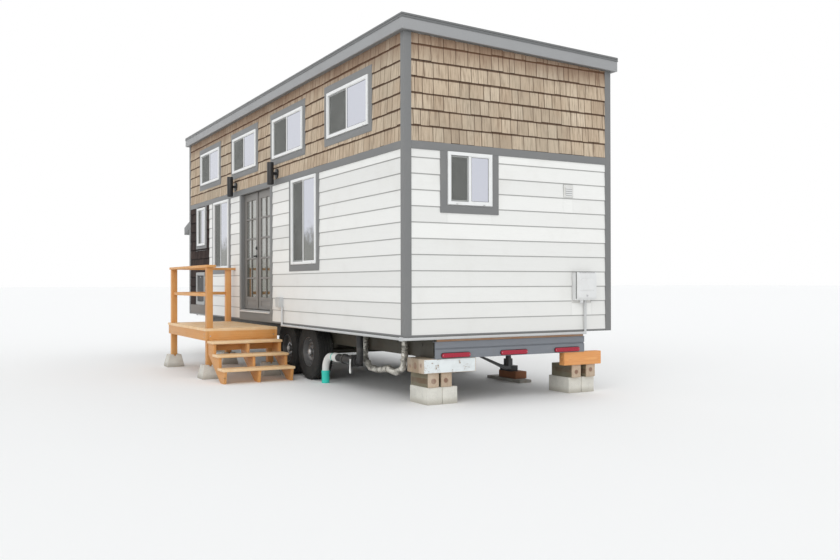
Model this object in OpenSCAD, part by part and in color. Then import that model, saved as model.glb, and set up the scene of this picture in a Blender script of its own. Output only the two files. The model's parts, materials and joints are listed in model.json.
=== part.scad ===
// Tiny house on wheels: a flat-roofed cabin on a two-axle trailer, blocked up, with a timber porch.
// Millimetres, +Z up. The house runs along X: its tongue points to -X and its porch is on the -Y side.

/* [House] */
// Length over the corner boards
house_l = 9080; // [8900:10:9400]
// Width over the corner boards
house_w = 2943; // [2840:1:3100]
// Height of the lower edge of the walls above the ground
wall_z = 766; // [740:1:800]
// Thickness of the walls
wall_t = 130; // [115:1:150]
// Height of the finished floor above the ground
floor_z = 920; // [900:1:935]
// Thickness of the trim boards
board_t = 19; // [15:1:25]
// Width of the corner boards
corner_w = 89; // [70:1:110]
// Height of the lower edge of the belly band
band_z = 2834; // [2800:1:2900]
// Height of the belly band
band_h = 88; // [70:1:110]

/* [Roof] */
// Height of the roof's front edge above the ground
roof_z = 4285; // [4230:1:4400]
// Fall of the roof from the front edge to the back edge
roof_fall = 108; // [60:1:150]
// Overhang past the corner boards
eave = 65; // [50:1:100]
// Height of the roof's edge, from soffit to top
roof_t = 172; // [150:1:200]
// Thickness of the roof covering
cover_t = 14; // [8:1:20]
// Gap between sloping faces that lie on each other
slope_gap = 0.05; // [0.02:0.01:0.2]
// Height of the drip edge that hangs over the fascia
drip_h = 50; // [40:1:70]
// Thickness of the drip edge
drip_t = 5; // [3:1:8]

/* [Windows] */
// Centres of the upper windows, as shares of the house's length from its middle
upper_at = [0.3348, 0.1057, -0.1137, -0.3372]; // [-0.4:0.0001:0.4]
// Width of the upper windows
upper_w = 1210; // [900:1:1300]
// Height of their lower edge over the belly band
upper_rise = 312.987; // [290:0.001:340]
// Wall over their heads, as a share of the wall between the belly band and the back soffit
upper_head = 0.168; // [0.12:0.001:0.2]
// Centres of the lower windows, as shares of the house's length from its middle
lower_at = [0.1757, -0.2583]; // [-0.28:0.0001:0.35]
// Width of the lower windows
lower_w = 910; // [700:1:1000]
// Height of the lower windows, whose top is at the belly band
lower_h = 1205; // [1000:1:1300]
// Centre of the small window in the shake panel, as a share of the house's length from its middle
small_at = -0.4031; // [-0.41:0.0001:-0.395]
// Width of the small window
small_w = 540; // [480:1:560]
// Height of the small window
small_h = 722; // [600:1:760]
// Centre of the end wall's window across the house
end_y = -622; // [-900:1:900]
// Width of the end wall's window
end_w = 594; // [500:1:700]
// Height of the end wall's window
end_h = 594; // [500:1:700]
// Width of the boards round the windows
trim_w = 89; // [70:1:100]
// Gap between a window's frame and the boards round it
trim_gap = 6; // [4:1:12]
// Face width of a window's outer frame
frame_face = 38; // [30:1:50]
// Face width of a sash
sash_face = 32; // [24:1:40]
// Thickness of a sash
sash_t = 26; // [20:1:30]
// Thickness of the double glazing
glazing_t = 18; // [12:1:20]
// How far a window's frame stands proud of the wall
frame_proud = 32; // [24:1:38]
// Width of the bead round a fixed pane
bead_w = 9; // [6:1:14]

/* [French doors] */
// Centre of the doorway along the house
door_x = -475; // [-520:1:-430]
// Clear width between the jambs
door_w = 1410; // [1300:1:1450]
// Height of the lower edge of the leaves above the ground
leaf_z = 945; // [942:1:960]
// Thickness of a leaf
leaf_t = 44; // [38:1:50]
// How far a leaf's face lies behind the wall's face
leaf_set = 41; // [30:1:45]
// Gap round a leaf
leaf_gap = 5; // [5:1:8]
// Width of a leaf's stiles and top rail
stile_w = 112; // [90:1:130]
// Height of a leaf's bottom rail
kick_h = 195; // [150:1:260]
// Width of the glazing bars
bar_w = 22; // [16:1:30]
// Rows of panes in a leaf
pane_rows = 5; // [4:1:6]
// Thickness of the panes
pane_t = 16; // [10:1:20]
// Thickness of the jambs
jamb_t = 30; // [20:1:40]
// Radius of a hinge's barrel
barrel_r = 7.7; // [7:0.1:9]
// Gap between a hinge's barrel and the leaf
barrel_gap = 0.3; // [0.2:0.1:0.6]
// Height of the lever above the ground
lever_z = 1800; // [1700:1:1900]
// Thickness of the sill
sill_t = 35; // [25:1:37]

/* [Trailer] */
// Height of the frame's underside above the ground
frame_z = 515; // [480:1:540]
// Height of the frame's rails
rail_h = 192; // [170:1:200]
// Width across the outer faces of the rails
frame_w = 2100; // [2040:1:2110]
// Width of a rail's flanges
flange_w = 65; // [50:1:80]
// Thickness of a rail's web and flanges
web_t = 8; // [6:1:12]
// Height of the crossmembers
cross_h = 102; // [80:1:130]
// Greatest pitch of the crossmembers
cross_pitch = 610; // [500:1:700]
// Length of the tongue in front of the house
tongue_l = 1560; // [1450:1:1700]
// Width of the tongue's rails
tongue_w = 60; // [50:1:70]

/* [Wheels] */
// Places of the two axles along the house
axle_x = [500, 1340]; // [400:1:1500]
// Radius of a tyre
tyre_r = 390; // [370:1:400]
// Width of a tyre
tyre_w = 235; // [215:1:240]
// Gap between the tyres and the frame's rails
tyre_gap = 18; // [12:1:20]
// Radius of a rim's bead seat
rim_r = 206; // [200:1:215]
// Thickness of a rim's barrel
rim_t = 5; // [4:1:7]
// Radius of a spindle
spindle_r = 22; // [18:1:26]
// Gap between a spindle and its hub
spindle_gap = 0.06; // [0.02:0.01:0.1]
// Radius of an axle's tube
axle_r = 38; // [34:1:44]
// Radius of the brake drums
drum_r = 150; // [130:1:170]

/* [Porch] */
// Places of the deck's two ends along the house
deck_x = [-1660, 600]; // [-1800:1:700]
// Depth of the deck out from the wall
deck_d = 1060; // [950:1:1200]
// Gap between the deck and the wall
deck_gap = 18; // [10:1:25]
// Height of the deck's top above the ground
deck_z = 720; // [680:1:760]
// Thickness of the deck boards, treads and caps
plank_t = 38; // [30:1:45]
// Height of the deck's rim
rim_h = 140; // [120:1:160]
// Width of the posts
post_w = 89; // [80:1:100]
// Height of the cap rail's top above the ground
cap_z = 1630; // [1560:1:1750]
// Height of the middle rail's top above the ground
mid_z = 1225; // [1150:1:1280]
// Number of steps below the deck
steps = 3; // [2:1:4]
// Going of each step
going = 255; // [240:1:280]
// Depth of a tread
tread_d = 280; // [260:1:300]
// Width of the base of a pier
pier_w = 270; // [240:1:300]
// Height of the piers
pier_h = 200; // [160:1:220]

// Depth of the notch in a pier's top
notch_d = 45; // [30:1:60]
// Gap between a tread and the board behind it
tread_gap = 20; // [10:1:30]

/* [Fittings] */
// Width of the casing round the doorway
casing_w = 89; // [70:1:100]
// Height of the strip under the siding
base_h = 24; // [18:1:40]
// Thickness of the strip under the siding
base_t = 14; // [10:1:18]
// Centre of the utility hatch, as a share of the house's length from its middle
hatch_at = -0.411; // [-0.415:0.0001:-0.405]
// Height of the hatch's lower edge above the ground
hatch_z = 958; // [940:1:1000]
// Width of the hatch
hatch_w = 605; // [500:1:640]
// Height of the hatch
hatch_h = 622; // [500:1:700]
// Depth of the power box
box_d = 112; // [80:1:130]
// Place of the power box across the rear end
box_y = 1005; // [900:1:1050]
// Height of the power box's foot above the ground
box_z = 1153; // [1000:1:1300]
// Place of the vent across the rear end
vent_y = 796; // [700:1:900]
// Height of the vent's foot above the ground
vent_z = 2400; // [2200:1:2500]
// Height of the receptacle's foot above the ground
inlet_z = 1010; // [900:1:1100]
// Centres of the two wall lights along the house
sconce_x = [530, -1480]; // [-1600:1:700]
// Height of the wall lights' back plates over the belly band
sconce_rise = 78; // [76:1:130]
// Place of the drain along the house
drain_x = 1857; // [1800:1:1950]
// Height of the drain's run
drain_z = 375; // [350:1:400]
// Radius of the drain's bend
drain_bend = 190; // [150:1:200]
// Distance of the drain out from the frame's rail
drain_out = 200; // [160:1:240]
// Distance of the foil-wrapped pipe out from the frame's rail
supply_out = 52; // [48:1:60]
// Radius of the foil-wrapped pipe
supply_r = 42; // [36:1:46]
// Distance of the cribs' near ends from the house's end
crib_in = 480; // [440:1:520]
// Distance of the support jack from the house's end
support_in = 1640; // [1500:1:1800]
// Height of the concrete blocks
block_h = 194; // [180:1:210]

/* [Tongue closet] */
// Depth of the closet
closet_d = 600; // [500:1:680]
// Width of the closet
closet_w = 2300; // [2100:1:2400]
// Height of its roof's top where it meets the house
closet_z = 2720; // [2600:1:2800]
// Fall of its roof
closet_fall = 190; // [120:1:240]
// Height of its roof's edge
closet_t = 150; // [110:1:170]

/* [Hidden] */
$fn = 48;

// Walls: their outer faces lie one board inside the corner boards
wx = house_l / 2 - board_t;
wy = house_w / 2 - board_t;
in_x = wx - wall_t;
in_y = wy - wall_t;
// Windows: places along the walls, and the upper ones' height
upper_x = upper_at * house_l;
lower_x = lower_at * house_l;
small_x = small_at * house_l;
hatch_x = hatch_at * house_l;
upper_space = roof_z - roof_fall - roof_t - band_z - band_h;
upper_h = (1 - upper_head) * upper_space - upper_rise;
upper_z = band_z + band_h + upper_rise;
sconce_z = band_z + band_h + sconce_rise;
// Supports and pipes
crib_x = house_l / 2 - crib_in;
support_x = house_l / 2 - support_in;
inlet_x = deck_x[1] + 200;
// Roof: outer edges, and the height of its top at a place across the house
rx = house_l / 2 + eave;
ry = house_w / 2 + eave;
function roof_top(y) = roof_z - roof_fall * (y + ry) / (2 * ry);
// Trailer
rail_z = frame_z + rail_h;
rail_y = frame_w / 2;
tyre_y = rail_y + tyre_gap + tyre_w / 2;
coupler_x = -house_l / 2 - tongue_l;
jack_x = coupler_x + 330;
well_x = [axle_x[0] - tyre_r - 60, axle_x[1] + tyre_r + 60];
well_z = 2 * tyre_r + 32;
// Doorway
door_x0 = door_x - door_w / 2;
door_x1 = door_x + door_w / 2;
leaf_w = door_w / 2 - 2 * leaf_gap;
leaf_h = band_z - leaf_gap - leaf_z;
leaf_y = -wy + leaf_set;
pivot_y = leaf_y + leaf_t + barrel_r + barrel_gap;
pivot_gap = leaf_gap / 2;
sill_z = leaf_z - 10 - sill_t;
// Porch
deck_y1 = -house_w / 2 - deck_gap;
deck_y0 = deck_y1 - deck_d;
rise = deck_z / (steps + 1) - 8;
rim_z = deck_z - plank_t;
post_y0 = deck_y0 + 25 + post_w / 2;
pier_y0 = post_y0 - pier_w / 2;
// The whole part's middle goes to the origin
x_lo = coupler_x;
x_hi = max(rx, wx + box_d);
y_lo = pier_y0;
y_hi = ry;
middle = [(x_lo + x_hi) / 2, (y_lo + y_hi) / 2, 0];

// Moves what is drawn in the house's frame to the part's own origin
module placed() translate(-middle) children();

// A box from its lowest corner to its highest
module box(a, b) translate(a) cube(b - a);

// What is drawn for the back of the house (side 1), or the same mirrored to its front (side -1)
module sided(side) {
    if (side < 0)
        mirror([0, 1, 0]) children();
    else
        children();
}

// A profile drawn in Y and Z, drawn out along X
module along_x(x0, x1) translate([x0, 0, 0]) rotate([90, 0, 90]) linear_extrude(x1 - x0) children();

// A profile drawn in X and Z, drawn out along Y
module along_y(y0, y1) translate([0, y1, 0]) rotate([90, 0, 0]) linear_extrude(y1 - y0) children();

// A slab that follows the roof, from depth d0 to depth d1 below its top
module roof_slab(x0, x1, y0, y1, d0, d1) along_x(x0, x1)
    polygon([[y0, roof_top(y0) - d0], [y1, roof_top(y1) - d0], [y1, roof_top(y1) - d1], [y0, roof_top(y0) - d1]]);

// The space under the roof
module under_roof() roof_slab(-rx, rx, -ry, ry, roof_t + slope_gap, roof_z);

// Places on the walls: X runs along the wall, Y runs into the house
module on_front(x, z) translate([x, -wy, z]) children();
module on_back(x, z) translate([x, wy, z]) rotate([0, 0, 180]) children();
module on_rear_end(y, z) translate([wx, y, z]) rotate([0, 0, 90]) children();

module hole(w, h) box([-w / 2, -1, 0], [w / 2, wall_t + 1, h]);

// Trailer: two channel rails with crossmembers between them, and an A-frame tongue
module rail(side) sided(side) along_x(-house_l / 2 + 20, house_l / 2 - 100)
    difference() {
        translate([rail_y - flange_w, frame_z]) square([flange_w, rail_h]);
        translate([rail_y - flange_w - 1, frame_z + web_t])
            square([flange_w - web_t + 1, rail_h - 2 * web_t]);
    }

module rail_front() placed() color("dimgray") rail(-1);
module rail_back() placed() color("dimgray") rail(1);

module crossmembers() placed() color("gray") {
    x0 = -house_l / 2 + 120;
    x1 = house_l / 2 - 240;
    bays = ceil((x1 - x0) / cross_pitch);
    y1 = rail_y - web_t;
    for (i = [0 : bays])
        translate([x0 + i * (x1 - x0) / bays, 0, 0]) difference() {
            box([0, -y1, rail_z - web_t - cross_h], [45, y1, rail_z - web_t]);
            box([6, -y1 - 1, rail_z - web_t - cross_h + 6], [46, y1 + 1, rail_z - web_t - 6]);
        }
}

module rear_beam() placed() color("slategray") {
    x0 = house_l / 2 - 100;
    x1 = house_l / 2 - 30;
    along_y(-rail_y - 15, rail_y + 15) difference() {
        translate([x0, frame_z]) square([x1 - x0, rail_h]);
        translate([x1 - 12, frame_z + 0.54 * rail_h]) square([13, 14]);
        translate([x0 - 1, frame_z + web_t]) square([x1 - x0 - 21, rail_h - 2 * web_t]);
    }
}

// A-frame: two rails that meet at the coupler
tongue_y = rail_y - flange_w - 40;
tongue_x = -house_l / 2 + 20;
module tongue_rails() placed() color("dimgray") {
    x1 = coupler_x + 200;
    difference() {
        for (s = [-1, 1])
            translate([0, 0, rail_z - cross_h]) linear_extrude(cross_h)
                polygon([[tongue_x, s * tongue_y], [tongue_x, s * (tongue_y - tongue_w)],
                    [x1, s * 12], [x1, s * (12 + tongue_w)]]);
        for (s = [-1, 1])
            translate([0, 0, rail_z - cross_h + 6]) linear_extrude(cross_h - 12)
                polygon([[tongue_x - 20, s * (tongue_y - tongue_w - 1)], [tongue_x - 20, s * (tongue_y - tongue_w + 30)],
                    [x1 + 20, s * 30], [x1 + 20, 0]]);
    }
    box([tongue_x, -rail_y + web_t, rail_z - cross_h], [tongue_x + 60, rail_y - web_t, rail_z - web_t]);
}

module coupler() placed() color("darkslategray") {
    z1 = rail_z - 6;
    difference() {
        union() {
            translate([coupler_x + 55, 0, z1 - 90]) cylinder(r = 55, h = 70);
            box([coupler_x + 55, -48, z1 - 90], [coupler_x + 200, 48, z1 - 20]);
            box([coupler_x + 150, -12, z1 - 96], [jack_x, 12, z1]);
        }
        translate([jack_x, 0, z1 - 100]) cylinder(r = 32, h = 110);
        translate([coupler_x + 55, 0, z1 - 91]) cylinder(r = 31, h = 60);
    }
}

module tongue_jack() placed() color("black") {
    translate([jack_x, 0, 0]) {
        difference() {
            translate([0, 0, 330]) cylinder(r = 32, h = 640);
            translate([0, 0, 329]) cylinder(r = 25.5, h = 600);
        }
        translate([0, 0, 12]) cylinder(r = 25.2, h = 880);
        cylinder(r = 90, h = 12);
        translate([0, 0, 970]) cylinder(r = 42, h = 36);
    }
}

// Running gear: springs on hangers carry two axles, whose spindles carry the wheels
module axles() placed() color("dimgray") for (x = axle_x) translate([x, 0, tyre_r]) rotate([90, 0, 0]) {
    cylinder(r = axle_r, h = 2 * (tyre_y - 70), center = true);
    cylinder(r = spindle_r, h = 2 * (tyre_y + 50), center = true);
    for (s = [-1, 1])
        translate([0, 0, s * (tyre_y - 86)]) cylinder(r = drum_r, h = 56, center = true);
}

module leaf_springs() placed() color("black") {
    y = rail_y - flange_w / 2;
    for (s = [-1, 1], x = axle_x)
        translate([0, s * y, 0]) difference() {
            union() {
                for (i = [0 : 3])
                    box([x - 330 + 70 * i, -25, tyre_r + axle_r + 32 - 8 * i],
                        [x + 330 - 70 * i, 25, tyre_r + axle_r + 40 - 8 * i]);
                for (e = [-330, 330])
                    translate([x + e, 0, tyre_r + axle_r + 46]) rotate([90, 0, 0])
                        cylinder(r = 14, h = 50, center = true);
                for (e = [-340, 300])
                    box([x + e, -30, tyre_r + axle_r + 44], [x + e + 40, 30, frame_z]);
                box([x - 45, -32, tyre_r], [x + 45, 32, tyre_r + axle_r + 9]);
            }
            translate([x, 0, tyre_r]) rotate([90, 0, 0]) cylinder(r = axle_r, h = 80, center = true);
        }
}

// One wheel, in its own frame: its axis along Y and its outer face to +Y
module tyre() rotate([90, 0, 0]) translate([0, 0, -tyre_w / 2]) rotate_extrude()
    polygon([[rim_r, 14], [rim_r + 22, 4], [rim_r + 90, 0], [tyre_r - 46, 4], [tyre_r - 12, 22],
        [tyre_r, 46], [tyre_r, tyre_w - 46], [tyre_r - 12, tyre_w - 22], [tyre_r - 46, tyre_w - 4],
        [rim_r + 90, tyre_w], [rim_r + 22, tyre_w - 4], [rim_r, tyre_w - 14]]);

module rim() rotate([-90, 0, 0]) difference() {
    union() {
        rotate_extrude() polygon([[rim_r - rim_t, 14 - tyre_w / 2], [rim_r, 14 - tyre_w / 2],
            [rim_r, tyre_w / 2 - 14], [rim_r - rim_t, tyre_w / 2 - 14]]);
        rotate_extrude() polygon([[30, 36], [96, 40], [120, 62], [rim_r - 40, 40], [rim_r - rim_t, 30],
            [rim_r - rim_t, 22], [rim_r - 42, 31], [118, 53], [92, 30], [30, 28]]);
        translate([0, 0, -50]) cylinder(r = 58, h = 96);
        translate([0, 0, 40]) cylinder(r = 42, h = 52);
    }
    translate([0, 0, -51]) cylinder(r = spindle_r + spindle_gap, h = 130);
    for (a = [0 : 45 : 315])
        rotate([0, 0, a]) translate([150, 0, 20]) cylinder(r = 17, h = 60);
}

module at_wheel(side, x) placed() translate([x, side * tyre_y, tyre_r])
    rotate([0, 0, side > 0 ? 0 : 180]) children();

module tyre_front_a() color("#252528") at_wheel(-1, axle_x[0]) tyre();
module tyre_front_b() color("#252528") at_wheel(-1, axle_x[1]) tyre();
module tyre_back_a() color("#252528") at_wheel(1, axle_x[0]) tyre();
module tyre_back_b() color("#252528") at_wheel(1, axle_x[1]) tyre();
module rim_front_a() color("silver") at_wheel(-1, axle_x[0]) rim();
module rim_front_b() color("silver") at_wheel(-1, axle_x[1]) rim();
module rim_back_a() color("silver") at_wheel(1, axle_x[0]) rim();
module rim_back_b() color("silver") at_wheel(1, axle_x[1]) rim();

// Floor: joists and rim over the trailer, open over the wheels, under a boarded deck
module floor_frame() placed() color("burlywood") {
    z1 = well_z + 8;
    y0 = rail_y + 4;
    rim_x = wx - board_t;
    box([-rim_x, -y0, rail_z], [rim_x, y0, wall_z]);
    box([-in_x, -y0, wall_z], [in_x, y0, z1]);
    for (s = [-1, 1])
        sided(s) {
            box([-in_x, y0, wall_z], [well_x[0], in_y, z1]);
            box([well_x[1], y0, wall_z], [in_x, in_y, z1]);
        }
}

module floor_deck() placed() color("tan") box([-in_x, -in_y, well_z + 8], [in_x, in_y, floor_z]);

// Walls: open at the windows and the doorway, under the sloping roof
module front_openings() {
    for (x = upper_x)
        on_front(x, upper_z) hole(upper_w, upper_h);
    for (x = lower_x)
        on_front(x, band_z - lower_h) hole(lower_w, lower_h);
    on_front(small_x, band_z - 20 - small_h) hole(small_w, small_h);
    on_front(hatch_x, hatch_z) hole(hatch_w, hatch_h);
}

module front_wall(x0, x1, z0, z1) placed() color("whitesmoke") intersection() {
    difference() {
        box([x0, -wy, z0], [x1, -in_y, z1]);
        front_openings();
    }
    under_roof();
}

module front_wall_left() front_wall(-wx, door_x0 - jamb_t, wall_z, roof_z);
module front_wall_right() front_wall(door_x1 + jamb_t, wx, wall_z, roof_z);
module front_wall_at_door() {
    front_wall(door_x0 - jamb_t, door_x1 + jamb_t, band_z + jamb_t, roof_z);
    front_wall(door_x0 - jamb_t, door_x1 + jamb_t, wall_z, sill_z);
}

module back_wall() placed() color("whitesmoke") intersection() {
    difference() {
        box([-wx, in_y, wall_z], [wx, wy, roof_z]);
        for (x = upper_x)
            on_back(x, upper_z) hole(upper_w, upper_h);
        for (x = lower_x)
            on_back(x, band_z - lower_h) hole(lower_w, lower_h);
    }
    under_roof();
}

module rear_end_wall() placed() color("whitesmoke") intersection() {
    difference() {
        box([in_x, -in_y, wall_z], [wx, in_y, roof_z]);
        on_rear_end(end_y, band_z - end_h) hole(end_w, end_h);
    }
    under_roof();
}

module tongue_end_wall() placed() color("whitesmoke") intersection() {
    box([-wx, -in_y, wall_z], [-in_x, in_y, roof_z]);
    under_roof();
}

// Roof: a sloping deck inside its fascia boards, and a covering that folds down over them
fx = rx - drip_t;
fy = ry - drip_t;
module roof_deck() placed() color("tan")
    roof_slab(board_t - fx, fx - board_t, board_t - fy, fy - board_t, cover_t + slope_gap, roof_t);

module roof_covering() placed() color("dimgray") difference() {
    roof_slab(-rx, rx, -ry, ry, 0, drip_h);
    roof_slab(-fx, fx, -fy, fy, cover_t, drip_h + 1);
}

module fascia() placed() color("darkgray") difference() {
    roof_slab(-fx, fx, -fy, fy, cover_t + slope_gap, roof_t);
    roof_slab(board_t - fx, fx - board_t, board_t - fy, fy - board_t, cover_t - 1, roof_t + 1);
}

// Trim: corner boards, the band between the storeys, the strip under the siding
module corner_boards() placed() color("gray") intersection() {
    for (s = [-1, 1], e = [0, 1])
        mirror([e, 0, 0]) sided(s) translate([0, 0, wall_z]) linear_extrude(roof_z)
            polygon([[wx + board_t, wy + board_t], [wx + board_t - corner_w, wy + board_t],
                [wx + board_t - corner_w, wy], [wx, wy], [wx, wy + board_t - corner_w],
                [wx + board_t, wy + board_t - corner_w]]);
    under_roof();
}

// A board all round the house between the corner boards
module band(z0, z1, t) {
    x1 = wx + board_t - corner_w;
    y1 = wy + board_t - corner_w;
    for (s = [-1, 1]) {
        sided(s) box([-x1, wy, z0], [x1, wy + t, z1]);
        sided(s) mirror([s < 0 ? 1 : 0, 0, 0]) box([wx, -y1, z0], [wx + t, y1, z1]);
    }
}

module wall_bands() placed() color("gray") {
    band(band_z, band_z + band_h, board_t);
    difference() {
        band(wall_z, wall_z + base_h, base_t);
        on_front(door_x, wall_z)
            box([-door_w / 2 - casing_w, -board_t - 1, -1], [door_w / 2 + casing_w, 1, base_h + 1]);
        box([-wx - board_t, -closet_w / 2, wall_z - 1], [1 - wx, closet_w / 2, wall_z + base_h + 1]);
    }
}

// Windows: boards round a sliding window, its frame and sashes, and its panes
module boards_round(w, h, top) difference() {
    g = trim_gap;
    box([-w / 2 - g - trim_w, -board_t, -g - trim_w], [w / 2 + g + trim_w, 0, top ? h + g + trim_w : h]);
    box([-w / 2 - g, -board_t - 1, -g], [w / 2 + g, 1, top ? h + g : h + 1]);
}

module window_trim() placed() color("gray") {
    for (x = upper_x) {
        on_front(x, upper_z) boards_round(upper_w, upper_h, true);
        on_back(x, upper_z) boards_round(upper_w, upper_h, true);
    }
    for (x = lower_x) {
        on_front(x, band_z - lower_h) boards_round(lower_w, lower_h, false);
        on_back(x, band_z - lower_h) boards_round(lower_w, lower_h, false);
    }
    on_front(small_x, band_z - 20 - small_h) difference() {
        boards_round(small_w, small_h + 20, false);
        box([-small_w, -board_t - 1, -trim_w], [small_w, 1, -trim_gap - trim_w * 0.6]);
    }
    on_rear_end(end_y, band_z - end_h) boards_round(end_w, end_h, false);
}

// A ring W by H in the plane of the wall, its face F wide, from depth D0 to depth D1
module ring(w, h, f, d0, d1) difference() {
    box([0, d0, 0], [w, d1, h]);
    box([f, d0 - 1, f], [w - f, d1 + 1, h - f]);
}

sash_d = [10 - frame_proud, 14 - frame_proud + sash_t];
module slider_frame(w, h) translate([-w / 2, 0, 0]) {
    half = w / 2 + sash_face / 2 - frame_face;
    ring(w, h, frame_face, -frame_proud, 80);
    difference() {
        box([w / 2 - sash_face / 2, sash_d[0], frame_face], [w - frame_face, sash_d[1], h - frame_face]);
        box([w / 2 + sash_face / 2, sash_d[0] - 1, frame_face + bead_w],
            [w - frame_face - bead_w, sash_d[1] + 1, h - frame_face - bead_w]);
    }
    translate([frame_face, 0, frame_face]) ring(half, h - 2 * frame_face, sash_face, sash_d[1], sash_d[1] + sash_t);
}

module slider_glass(w, h) translate([-w / 2, 0, 0]) {
    f = frame_face + sash_face;
    d = (sash_t - glazing_t) / 2;
    e = frame_face + bead_w;
    box([w / 2 + sash_face / 2, sash_d[0] + d, e], [w - e, sash_d[0] + d + glazing_t, h - e]);
    box([f, sash_d[1] + d, f], [w / 2 - sash_face / 2, sash_d[1] + d + glazing_t, h - f]);
}

module window_frames() placed() color("white") {
    for (x = upper_x) {
        on_front(x, upper_z) slider_frame(upper_w, upper_h);
        on_back(x, upper_z) slider_frame(upper_w, upper_h);
    }
    for (x = lower_x) {
        on_front(x, band_z - lower_h) slider_frame(lower_w, lower_h);
        on_back(x, band_z - lower_h) slider_frame(lower_w, lower_h);
    }
    on_front(small_x, band_z - 20 - small_h) slider_frame(small_w, small_h);
    on_rear_end(end_y, band_z - end_h) slider_frame(end_w, end_h);
}

module window_glass() placed() color("lightblue") {
    for (x = upper_x) {
        on_front(x, upper_z) slider_glass(upper_w, upper_h);
        on_back(x, upper_z) slider_glass(upper_w, upper_h);
    }
    for (x = lower_x) {
        on_front(x, band_z - lower_h) slider_glass(lower_w, lower_h);
        on_back(x, band_z - lower_h) slider_glass(lower_w, lower_h);
    }
    on_front(small_x, band_z - 20 - small_h) slider_glass(small_w, small_h);
    on_rear_end(end_y, band_z - end_h) slider_glass(end_w, end_h);
}

// French doors: jambs and casing, a sill and kick board, two glazed leaves that swing in
module door_jambs() placed() color("gray") {
    difference() {
        box([door_x0 - jamb_t, -wy, sill_z], [door_x1 + jamb_t, leaf_y + leaf_t, band_z + jamb_t]);
        box([door_x0, -wy - 1, sill_z - 1], [door_x1, leaf_y + leaf_t + 1, band_z]);
    }
    hinges();
}

module door_casing() placed() color("gray") {
    for (x = [door_x0 - casing_w, door_x1])
        box([x, -wy - board_t, wall_z], [x + casing_w, -wy, band_z]);
    box([door_x0, -wy - board_t, wall_z], [door_x1, -wy, sill_z]);
}

module door_sill() placed() color("gainsboro") along_x(door_x0, door_x1)
    polygon([[-wy - board_t - 25, sill_z], [leaf_y + leaf_t + 20, sill_z], [leaf_y + leaf_t + 20, sill_z + sill_t],
        [leaf_y, sill_z + sill_t], [-wy - board_t - 25, sill_z + sill_t - 12]]);

// Runs its child for each pane: column i, row j
pane_w = (leaf_w - 2 * stile_w - bar_w) / 2;
pane_h = (leaf_h - stile_w - kick_h - (pane_rows - 1) * bar_w) / pane_rows;
module each_pane() for (i = [0, 1], j = [0 : pane_rows - 1])
    translate([stile_w + i * (pane_w + bar_w), 0, kick_h + j * (pane_h + bar_w)]) children();

// A leaf from its hinged edge towards +X, its outer face at Y = 0 and its foot at Z = 0
module leaf() difference() {
    box([0, 0, 0], [leaf_w, leaf_t, leaf_h]);
    each_pane() box([0, -1, 0], [pane_w, leaf_t + 1, pane_h]);
    box([stile_w, -1, 50], [leaf_w - stile_w, 6, kick_h - 45]);
    box([stile_w, leaf_t - 6, 50], [leaf_w - stile_w, leaf_t + 1, kick_h - 45]);
}

module leaf_panes() each_pane() box([0, (leaf_t - pane_t) / 2, 0], [pane_w, (leaf_t + pane_t) / 2, pane_h]);

module at_left_leaf() placed() translate([door_x0 + leaf_gap, leaf_y, leaf_z]) children();
module at_right_leaf() placed() translate([door_x1 - leaf_gap, leaf_y, leaf_z]) mirror([1, 0, 0]) children();

module door_leaf_left() at_left_leaf() color("gray") leaf();
module door_leaf_right() at_right_leaf() color("gray") leaf();
module door_glass_left() at_left_leaf() color("lightblue") leaf_panes();
module door_glass_right() at_right_leaf() color("lightblue") leaf_panes();

module door_lever() at_left_leaf() color("black") {
    x = leaf_w - stile_w / 2;
    for (s = [0, 1])
        translate([x, s * leaf_t, 0]) mirror([0, s, 0]) {
            translate([0, 0, lever_z - leaf_z]) rotate([90, 0, 0]) {
                cylinder(r = 32, h = 8);
                cylinder(r = 10, h = 58);
                translate([-112, -9, 44]) cube([122, 18, 14]);
            }
            translate([0, 0, lever_z - leaf_z + 130]) rotate([90, 0, 0]) {
                cylinder(r = 31, h = 14);
                translate([-4, -14, 0]) cube([8, 28, 26]);
            }
        }
}

// Three hinges a leaf, on the jambs' inner edges
module hinges() for (s = [0, 1], z = [leaf_z + 180, leaf_z + leaf_h / 2, leaf_z + leaf_h - 180])
        translate([door_x, pivot_y, z]) mirror([s, 0, 0]) translate([-door_w / 2 + pivot_gap, 0, 0]) {
            translate([0, 0, -50]) cylinder(r = barrel_r, h = 100);
            box([-pivot_gap - jamb_t, leaf_y + leaf_t - pivot_y, -50], [-pivot_gap, leaf_y + leaf_t - pivot_y + 4, 50]);
        }

// Fittings on the walls
module sconces() placed() color("black")
    for (x = sconce_x)
        translate([x, -wy, 0]) {
            translate([0, 0, sconce_z]) rotate([90, 0, 0]) cylinder(r = 74, h = board_t + 12);
            box([-20, -board_t - 60, sconce_z - 20], [20, -board_t - 10, sconce_z + 20]);
            translate([0, -board_t - 96, sconce_z - 165]) difference() {
                cylinder(r = 50, h = 330);
                translate([0, 0, -1]) cylinder(r = 44, h = 60);
                translate([0, 0, 271]) cylinder(r = 44, h = 60);
            }
        }

module utility_hatch() placed() color("silver") on_front(hatch_x, hatch_z) {
    translate([-hatch_w / 2, 0, 0]) ring(hatch_w, hatch_h, 60, -board_t, 60);
    box([-hatch_w / 2 + 60, 20, 60], [hatch_w / 2 - 60, 40, hatch_h - 60]);
}

module power_box() placed() color("lightgray") on_rear_end(box_y, box_z) {
    box([-146, 14 - box_d, 0], [146, 0, 333]);
    box([-150, -box_d, 18], [150, 14 - box_d, 337]);
    translate([-40, -56, -34]) cylinder(r = 21, h = 35);
}

module vent() placed() color("white") on_rear_end(vent_y, vent_z) {
    box([-70, -24, 0], [70, 0, 150]);
    for (i = [0 : 3])
        box([-56, -30, 16 + 32 * i], [56, -23, 32 + 32 * i]);
}

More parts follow.
